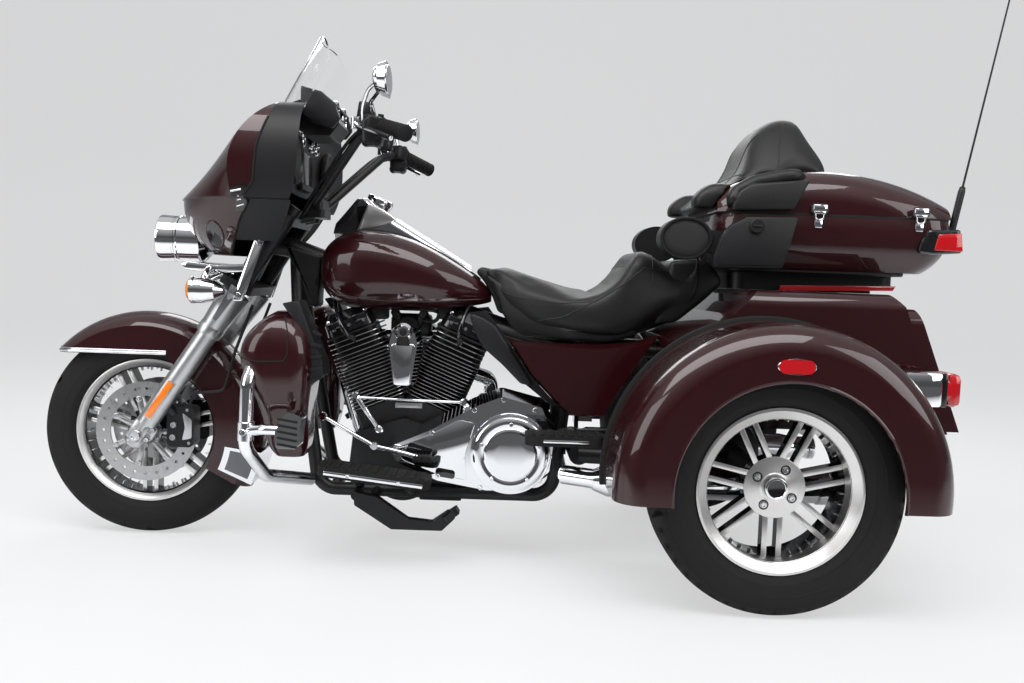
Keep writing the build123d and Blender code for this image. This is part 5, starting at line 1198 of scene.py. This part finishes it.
# %% Foot board mats
bm = bmesh.new()
BOARD_X, REAR_BOARD_X, BOARD_SLOPE, RIB_PITCH = 706, 1206, 0.11, 25
BOARD_TURN = Matrix.Rotation(math.atan(BOARD_SLOPE), 3, "Y")
for x in range(-125, 126, RIB_PITCH):
    put(bm, block((13, 92, 5), Vector((fwd(BOARD_X + x), -318, 268.6 - BOARD_SLOPE * x)), 1.8, BOARD_TURN))
for x in range(-87, 89, RIB_PITCH):
    put(bm, block((13, 88, 5), Vector((fwd(REAR_BOARD_X + x), -350, 389.6)), 1.8))
settle("board_mats", bm, "chassis", rubber, both=True)
bm = bmesh.new()
put(bm, block((262, 7, 12), Vector((fwd(BOARD_X), -377, 254)), 2.6, BOARD_TURN))
put(bm, block((120, 6, 9), Vector((fwd(REAR_BOARD_X), -406.4, 376)), 2.4))
screws(bm, fwds([(640, -381, 262), (772, -381, 247)]), LEFT, 6)
settle("board_edges", bm, "chassis", chrome, both=True)
print("foot boards")

# %% [markdown]
# Seat and backrest. Upholstery is foam under stretched hide, so its panels crown between sewn seams. A
# copy of the solid is drawn in a little, remeshed to an even net and blown up with the cloth solver while
# the seam lines are held, which gives the crowned panels. The move is capped, and a welt is then laid
# along each seam. A skirt, a tail and a nose pad close the foot of the seat, and each arm rest is a pad
# with a roll along its top.

# %% Upholstery
# Smoothing passes, frames of the simulation, and how far a seam holds the hide beside it, in metres
EVENED, EASED, FRAMES, SEAM_REACH = 10, 8, 20, 0.007


def even_net(name, node, draw_in, voxel):
    # Copy of a solid, drawn in and remeshed to an even net of small faces
    bm = bmesh.new()
    bm.from_mesh(nodes[node].data)
    bmesh.ops.remove_doubles(bm, verts=bm.verts, dist=1e-6)
    bmesh.ops.recalc_face_normals(bm, faces=bm.faces)
    obj = new_object(name, bm)
    mod = obj.modifiers.new("net", "REMESH")
    mod.mode, mod.voxel_size = "VOXEL", voxel
    graph = bpy.context.evaluated_depsgraph_get()
    mesh = bpy.data.meshes.new_from_object(obj.evaluated_get(graph))
    obj.modifiers.clear()
    bm = bmesh.new()
    bm.from_mesh(mesh)
    bpy.data.meshes.remove(mesh)
    for _ in range(EVENED):
        bmesh.ops.smooth_vert(bm, verts=bm.verts, factor=0.5, use_axis_x=True, use_axis_y=True,
                              use_axis_z=True)
    bm.normal_update()
    for vert in bm.verts:
        vert.co -= vert.normal * draw_in
    bm.to_mesh(obj.data)
    bm.free()
    return obj


def blown_up(obj, seams, pressure, cap):
    # Blow the net up while its seams are held, and cap how far a point moves
    start = np.array([v.co[:] for v in obj.data.vertices])
    tree = KDTree(sum(len(s) for s in seams))
    for k, place in enumerate([p for s in seams for p in s]):
        tree.insert(place * MM, k)
    tree.balance()
    held = obj.vertex_groups.new(name="seams")
    for vert in obj.data.vertices:
        away = tree.find(vert.co)[2]
        held.add([vert.index], max(0.0, min(1.0, 1.6 - away / SEAM_REACH)), "REPLACE")
    mod = obj.modifiers.new("stuffing", "CLOTH")
    mod.settings.quality = 5
    mod.settings.mass = 0.3
    mod.settings.vertex_group_mass = "seams"
    mod.settings.use_pressure = True
    mod.settings.uniform_pressure_force = pressure
    mod.settings.effector_weights.gravity = 0
    mod.point_cache.frame_start, mod.point_cache.frame_end = 1, FRAMES
    for number in range(1, FRAMES + 1):
        bpy.context.scene.frame_set(number)
    graph = bpy.context.evaluated_depsgraph_get()
    mesh = bpy.data.meshes.new_from_object(obj.evaluated_get(graph))
    end = np.array([v.co[:] for v in mesh.vertices])
    bpy.data.meshes.remove(mesh)
    obj.modifiers.clear()
    step = end - start
    size = np.linalg.norm(step, axis=1, keepdims=True)
    step *= np.minimum(1.0, cap / np.maximum(size, 1e-9))
    bm = bmesh.new()
    bm.from_mesh(obj.data)
    for vert, place in zip(bm.verts, start + step):
        vert.co = place
    for _ in range(EASED):
        bmesh.ops.smooth_vert(bm, verts=bm.verts, factor=0.5, use_axis_x=True, use_axis_y=True,
                              use_axis_z=True)
    bm.to_mesh(obj.data)
    bm.free()
    bpy.context.scene.frame_set(1)


def upholster(name, node, body, lines, draw_in=0.006, voxel=0.007, pressure=3.0, cap=0.016):
    # Padded piece in place of a solid, with welts along its seams
    obj = even_net(name, node, draw_in, voxel)
    skin = skin_of(obj)
    seams = [drawn_on(skin, points, way, 10) for points, way in lines]
    blown_up(obj, seams, pressure, cap)
    for face in obj.data.polygons:
        face.use_smooth = True
    obj.data.materials.append(leather)
    mod = obj.modifiers.new("smooth", "SUBSURF")
    mod.levels = mod.render_levels = 1
    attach(obj, body)
    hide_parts(node)
    skin = skin_of(obj)
    bm = bmesh.new()
    for points, way in lines:
        line = drawn_on(skin, points, way, 10)
        if len(line) > 2:
            pipe(bm, line, 1.7, 3, 2)
    settle(f"{name}_welts", bm, body, welt)
    return obj


def side_lines(rows):
    # The same line drawn from the left and from the right
    return [([(x, side * OUTSIDE, z) for x, z in rows], (0, -side, 0)) for side in (-1, 1)]


SEAT_LINES = [
    *side_lines([(fwd(990), 770), (fwd(1060), 742), (fwd(1190), 728), (fwd(1290), 738),
                 (fwd(1370), 792), (fwd(1420), 836), (fwd(1500), 826), (aft(-130), 818)]),
    *side_lines(fwds([(1090, 668), (1200, 690), (1310, 752)])),
    ([(fwd(1372), y, 1200) for y in (-190, -120, 0, 120, 190)], DOWN),
    ([(fwd(1446), y, 1200) for y in (-180, -120, 0, 120, 180)], DOWN),
]
BACK_LINES = [
    ([(aft(-400), side * 92, z) for z in (1020, 1080, 1130, 1180, 1230)], BACK) for side in (-1, 1)
] + [
    ([(aft(-400), y, 1106) for y in (-170, -100, 0, 100, 170)], BACK),
    *side_lines(afts([(-66, 1012), (-60, 1032), (-34, 1058), (30, 1066), (112, 1074)])),
    *side_lines(afts([(110, 1262), (86, 1200), (78, 1140), (70, 1110)])),
]
seat_pad = upholster("seat_cushion", "seat", "chassis", SEAT_LINES)
back_pad = upholster("backrest_cushion", "backrest", "top_case_lid", BACK_LINES, cap=0.018)
bm = bmesh.new()
SKIRT = [(972, 806), (991, 777), (1013, 735), (1026, 697), (1053, 657), (1087, 630), (1212, 622),
         (1330, 624), (1410, 640), (1410, 680), (1316, 668), (1211, 664), (1093, 706), (1034, 772)]
SKIRT_WIDE = ((966, 0.44), (1006, 0.64), (1070, 0.90), (1180, 1.18), (1320, 1.26), (1410, 1.10))
put(bm, slab(fwds(SKIRT), -150, 300, 12))
for vert in bm.verts:
    vert.co.y *= float(np.interp(vert.co.x - fwd(0), *zip(*SKIRT_WIDE)))
TAIL = [(-210, 860), (-138, 867), (-98, 862), (-70, 832), (-54, 800), (-113, 743), (-183, 684), (-250, 676),
        (-220, 760)]
put(bm, slab(afts(TAIL), -155, 310, 16))
NOSE_PAD = [(948, 808), (962, 824), (1010, 816), (1060, 720), (1040, 684), (1016, 694), (998, 740),
            (974, 780)]
put(bm, slab(fwds(NOSE_PAD), -58, 116, 9))
settle("seat_skirt", bm, "chassis", leather, 60)
bm = bmesh.new()
# The roll lies on the lid's wall, so that it doesn't show inside when the lid is open
ROLL_RADIUS = 20.0
ARM = [(-72, 996), (-70, 1021), (-53, 1050), (-23, 1070), (136, 1086), (94, 1002)]
lid_skin = skin_of(nodes["top_case_lid"])
put(bm, kept_out(slab(afts(ARM), -262, -26, 8), lid_skin, -1))
roll = from_left(lid_skin, afts([(-74, 1010), (-58, 1046), (-12, 1074), (60, 1092), (132, 1100)]), 3)
roll[1:-1] = [place + LEFT * ROLL_RADIUS for place in roll[1:-1]]
pipe(bm, roll, ROLL_RADIUS, 3, 5, 0.25)
settle("arm_pads", bm, "top_case_lid", leather, 60, both=True)
print("upholstery", len(seat_pad.data.vertices), len(back_pad.data.vertices))

# %% [markdown]
# Top case. A dark rubber gasket lies in the split, and a painted bead runs along the top of the tub. Each
# chrome latch has a bail and a keeper on the tub. The black side boxes have a raised lid and a round cap,
# and the oval speaker pods have a rim and a cloth grille.

# %% Top case trim
SPLIT, LATCH_X = 994.0, (aft(165), aft(439))


def rounded_ring(z, front, rear, half, corner, width, height, bevel):
    # Level ring with rounded corners
    bm = bmesh.new()
    corners = ((front, -half), (rear, -half), (rear, half), (front, half))
    bm.faces.new([bm.verts.new((x, y, z)) for x, y in corners])
    bmesh.ops.bevel(bm, geom=bm.verts[:], offset=corner, segments=10, profile=0.5, affect="VERTICES",
                    material=-1)
    rim = bmesh.ops.inset_region(bm, faces=bm.faces[:], thickness=width, use_even_offset=True,
                                 use_boundary=True)
    bmesh.ops.delete(bm, geom=[face for face in bm.faces if face not in rim["faces"]], context="FACES")
    moved(bmesh.ops.extrude_face_region(bm, geom=bm.faces[:])["geom"], (0, 0, height), bm)
    bmesh.ops.bevel(bm, geom=bm.edges[:], offset=bevel, segments=1, profile=0.5, affect="EDGES",
                    material=-1)
    return bm


bm = bmesh.new()
put(bm, rounded_ring(SPLIT - 4, aft(-101), aft(549), 269.4, 80, 8, 6, 0.6))
settle("case_gasket", bm, "chassis", rubber)
bm = bmesh.new()
put(bm, rounded_ring(SPLIT - 18, aft(-100.6), aft(548.8), 268.9, 80, 6, 9, 1.5))
settle("case_bead", bm, "chassis", paint)
bm = bmesh.new()
for x in LATCH_X:
    put(bm, block((36, 5, 18), (x, -283.4, SPLIT + 17), 2))
    put(bm, block((30, 8, 8), (x, -281, SPLIT + 5), 2))
    pipe(bm, [(x - 12, -281, SPLIT + 8), (x - 12, -281, SPLIT - 4), (x - 9, -280, SPLIT - 14),
              (x + 9, -280, SPLIT - 14), (x + 12, -281, SPLIT - 4), (x + 12, -281, SPLIT + 8)], 2.4)
settle("latch_bails", bm, "top_case_lid", chrome)
bm = bmesh.new()
for x in LATCH_X:
    put(bm, block((22, 14, 24), (x, -270, SPLIT - 24), 4))
settle("latch_keepers", bm, "chassis", chrome)
bm = bmesh.new()
BOX = [(-120, 840), (-120, 872), (-107, 915), (-79, 955), (-36, 980), (103, 984), (90, 923), (67, 844)]
put(bm, slab(afts(BOX), -276, -26, 7))
put(bm, slab([(aft(-8 + (x + 8) * 0.90), 914 + (z - 914) * 0.88) for x, z in BOX], -300, -4, 1.6))
lathe(bm, [(-4, 20), (6, 20), (9, 17), (9, 0)], (aft(-9), -303, 955), LEFT, 40)
put(bm, block((24, 5, 5), (aft(-9), -313, 955), 1.5))
settle("side_box_lids", bm, "chassis", plastic, both=True)


def oval_rim(bm, rows, centre, half_x, half_z):
    # Oval turned shape that faces the left
    part = bmesh.new()
    lathe(part, rows, (0, 0, 0), LEFT, 64)
    bmesh.ops.scale(part, vec=(half_x, 1, half_z), verts=part.verts)
    bmesh.ops.translate(part, vec=centre, verts=part.verts)
    put(bm, part)


POD, POD_X, POD_Z = (aft(-189), -272, 918), 71, 57
bm = bmesh.new()
oval_rim(bm, [(-8, 1.0), (4, 1.01), (7, 0.97), (7, 0.9), (2, 0.86), (0, 0.85)], POD, POD_X, POD_Z)
settle("pod_rings", bm, "chassis", plastic, both=True)
bm = bmesh.new()
oval_rim(bm, [(0.4, 0.87), (2, 0.84), (4, 0.5), (5, 0.0)], POD, POD_X, POD_Z)
settle("pod_grilles", bm, "chassis", speaker_cloth, both=True)
bm = bmesh.new()
put(bm, rounded_ring(836, aft(-60), aft(440), 226, 50, 60, 12, 3))
settle("case_foot", bm, "chassis", black_satin)
print("top case trim")

# %% [markdown]
# Lamps. The tail lamps stand on chrome feet, with a dark band round the middle and a rounded red cap. The
# top case lamps sit in black housings that follow the case wall, and a red strip lies under each side of
# the case. The side marker lies in a thin chrome frame.

# %% Lamp housings
TAIL_Y, TAIL_Z = 530, 562
bm = bmesh.new()
for side in (-1, 1):
    put(bm, block((92, 117, 85), (aft(338), side * TAIL_Y, TAIL_Z), 9))
settle("tail_lamp_feet", bm, "chassis", chrome)
bm = bmesh.new()
tub_skin = skin_of(nodes["top_case_tub"])
CASE_LAMP = [(440, 902), (444, 929), (464, 964), (550, 968), (556, 904), (477, 898)]
for side in (-1, 1):
    put(bm, block((14, 114, 82), (aft(389), side * TAIL_Y, TAIL_Z), 4))
    part = slab(afts(CASE_LAMP), side * 226, side * 54, 5)
    bmesh.ops.subdivide_edges(part, edges=part.edges[:], cuts=3, use_grid_fill=True)
    bmesh.ops.triangulate(part, faces=part.faces[:])
    bmesh.ops.subdivide_edges(part, edges=part.edges[:], cuts=2, use_grid_fill=True)
    put(bm, kept_out(part, tub_skin, side))
settle("lamp_bands", bm, "chassis", black_gloss)
bm = bmesh.new()
for side in (-1, 1):
    put(bm, block((36, 112, 80), (aft(414), side * TAIL_Y, TAIL_Z), 14))
    part = slab(afts([(480, 909), (490, 953), (552, 958), (558, 908)]), side * 232, side * 51, 3)
    bmesh.ops.subdivide_edges(part, edges=part.edges[:], cuts=3, use_grid_fill=True)
    put(bm, kept_out(part, tub_skin, side))
    put(bm, slab(afts([(94, 786), (100, 802), (424, 810), (416, 796)]), side * 176, side * 6, 1.5))
settle("lamp_caps", bm, "chassis", red_lens)
bm = bmesh.new()
for side in (-1, 1):
    part = bmesh.new()
    lathe(part, [(-2, 1.0), (2.4, 1.0), (3.4, 0.97), (3.4, 0.93)], (0, 0, 0), (0, side, 0), 48)
    bmesh.ops.scale(part, vec=(45, 1, 19), verts=part.verts)
    bmesh.ops.translate(part, vec=(aft(-3), side * 690, 615), verts=part.verts)
    put(bm, part)
settle("marker_frames", bm, "chassis", chrome)
print("lamp housings")

# %% [markdown]
# Rear body. A black filler strip follows the arch between each fender and the trunk. The fender mouth
# ends in a rolled edge. The trunk door has a handle, a lock and two hinge covers, and a blank plate in a
# chrome frame hangs below it.

# %% Rear body trim


def arch(bm, rows, side, y, steps, span):
    # Rows spun over the top of a rear wheel by a span in degrees
    low = math.radians((span - 180) / 2)
    start = (-side * math.cos(low), 0, -math.sin(low))
    lathe(bm, rows, (aft(0), side * y, AXLE), (0, side, 0), steps, math.radians(span), start)


bm = bmesh.new()
for side in (-1, 1):
    arch(bm, [(0, 400), (0, 413), (14, 413), (16, 409), (16, 400)], side, 412.6, 72, 190)
settle("fender_filler", bm, "chassis", rubber)
bm = bmesh.new()
for side in (-1, 1):
    ring = [(4.5 * math.cos(k), 272 + 4.5 * math.sin(k)) for k in np.linspace(0, math.tau, 9)]
    arch(bm, ring, side, 687.5, 96, 192)
settle("fender_edges", bm, "chassis", paint)
DOOR_TURN = Matrix.Rotation(-math.atan2(128, 326), 3, "Y")


def on_door(y, high, out):
    # Place on the outside of the trunk door, so far up from its foot
    return Vector((aft(521), y, 430)) + DOOR_TURN @ Vector((out, 0, high))


bm = bmesh.new()
put(bm, block((10, 190, 34), on_door(0, 250, 4), 4, DOOR_TURN))
lathe(bm, [(0, 0), (0, 17), (6, 17), (9, 14), (9, 0)], on_door(0, 205, 0), DOOR_TURN @ BACK, 32)
settle("door_handle", bm, "trunk_door", chrome)
bm = bmesh.new()
put(bm, block((4, 150, 22), on_door(0, 246, 8.5), 1.6, DOOR_TURN))
for y in (-300, 300):
    put(bm, block((6, 70, 26), on_door(y, 60, 2), 2.4, DOOR_TURN))
settle("door_trim", bm, "trunk_door", black_gloss)
bm = bmesh.new()
put(bm, block((3, 184, 106), Vector((aft(437.6), 0, 330)), 1.2))
settle("blank_plate", bm, "chassis", plate_white)
bm = bmesh.new()
for y, z, wide, high in ((0, 386, 200, 8), (0, 274, 200, 8), (-97, 330, 8, 120), (97, 330, 8, 120)):
    put(bm, block((7, wide, high), Vector((aft(438), y, z)), 2))
screws(bm, [(aft(439), y, z) for y in (-73, 73) for z in (295, 365)], BACK, 6)
settle("plate_frame", bm, "chassis", chrome)
print("rear body trim")

# %% [markdown]
# Front fender and exhaust. A bright strip follows the level edge of the fender and wraps its front. The
# mud flap frame holds a grey mesh. The mufflers have two bands and end caps, and a flat black disc in each
# mouth is painted shade in place of the open pipe. The antenna has a thick foot.

# %% Fender strip, flap mesh and exhaust
fender_skin = skin_of(nodes["front_fender"])
bm = bmesh.new()
for z, thick in ((538, 4.2), (545, 2.4)):
    line = from_left(fender_skin, [(fwd(x), z) for x in (60, 0, -80, -160, -230, -262)], 6)
    nose = drawn_on(fender_skin, [(fwd(-500), y, z) for y in (-70, -50, -25, 0)], BACK, 4)
    pipe(bm, [*line, *nose], thick)
settle("fender_strip", bm, "steering", chrome, both=True)
bm = bmesh.new()
MESH_HUB, MESH_FROM = (fwd(-12), -86.4, AXLE), math.radians(22)
lathe(bm, [(0, 268), (0, 338), (2, 340), (3, 338), (3, 268)], MESH_HUB, LEFT, 16, math.radians(12),
      (math.cos(MESH_FROM), 0, -math.sin(MESH_FROM)))
settle("flap_mesh", bm, "steering", grey_mesh, both=True)
bm = bmesh.new()
MUFFLERS = [(aft(-420), side * 318, 262) for side in (-1, 1)]
for at in MUFFLERS:
    for x in (120, 600):
        lathe(bm, [(x, 44.2), (x + 4, 47.5), (x + 30, 47.5), (x + 34, 44.2)], at, BACK, 48)
    lathe(bm, [(780, 36.2), (784, 38.6), (800, 38.6), (803, 36), (803, 31), (770, 29)], at, BACK, 48)
settle("muffler_bands", bm, "chassis", chrome)
bm = bmesh.new()
# A flat black disc in each muffler mouth is painted shade for the inside of the pipe. The antenna foot
# shares the black.
for at in MUFFLERS:
    lathe(bm, [(800.6, 0), (800.6, 31)], at, BACK, 32)
lathe(bm, [(-4, 0), (-4, 9.6), (112, 9.6), (120, 8.4), (126, 5), (126, 0)], (aft(562), -200, 967),
      (0.184, 0, 1), 24)
settle("muffler_mouth_shade_and_antenna_foot", bm, "chassis", black_satin)
print("fender strip and exhaust")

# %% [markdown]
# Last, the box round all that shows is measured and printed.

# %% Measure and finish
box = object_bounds()
print("box", box)
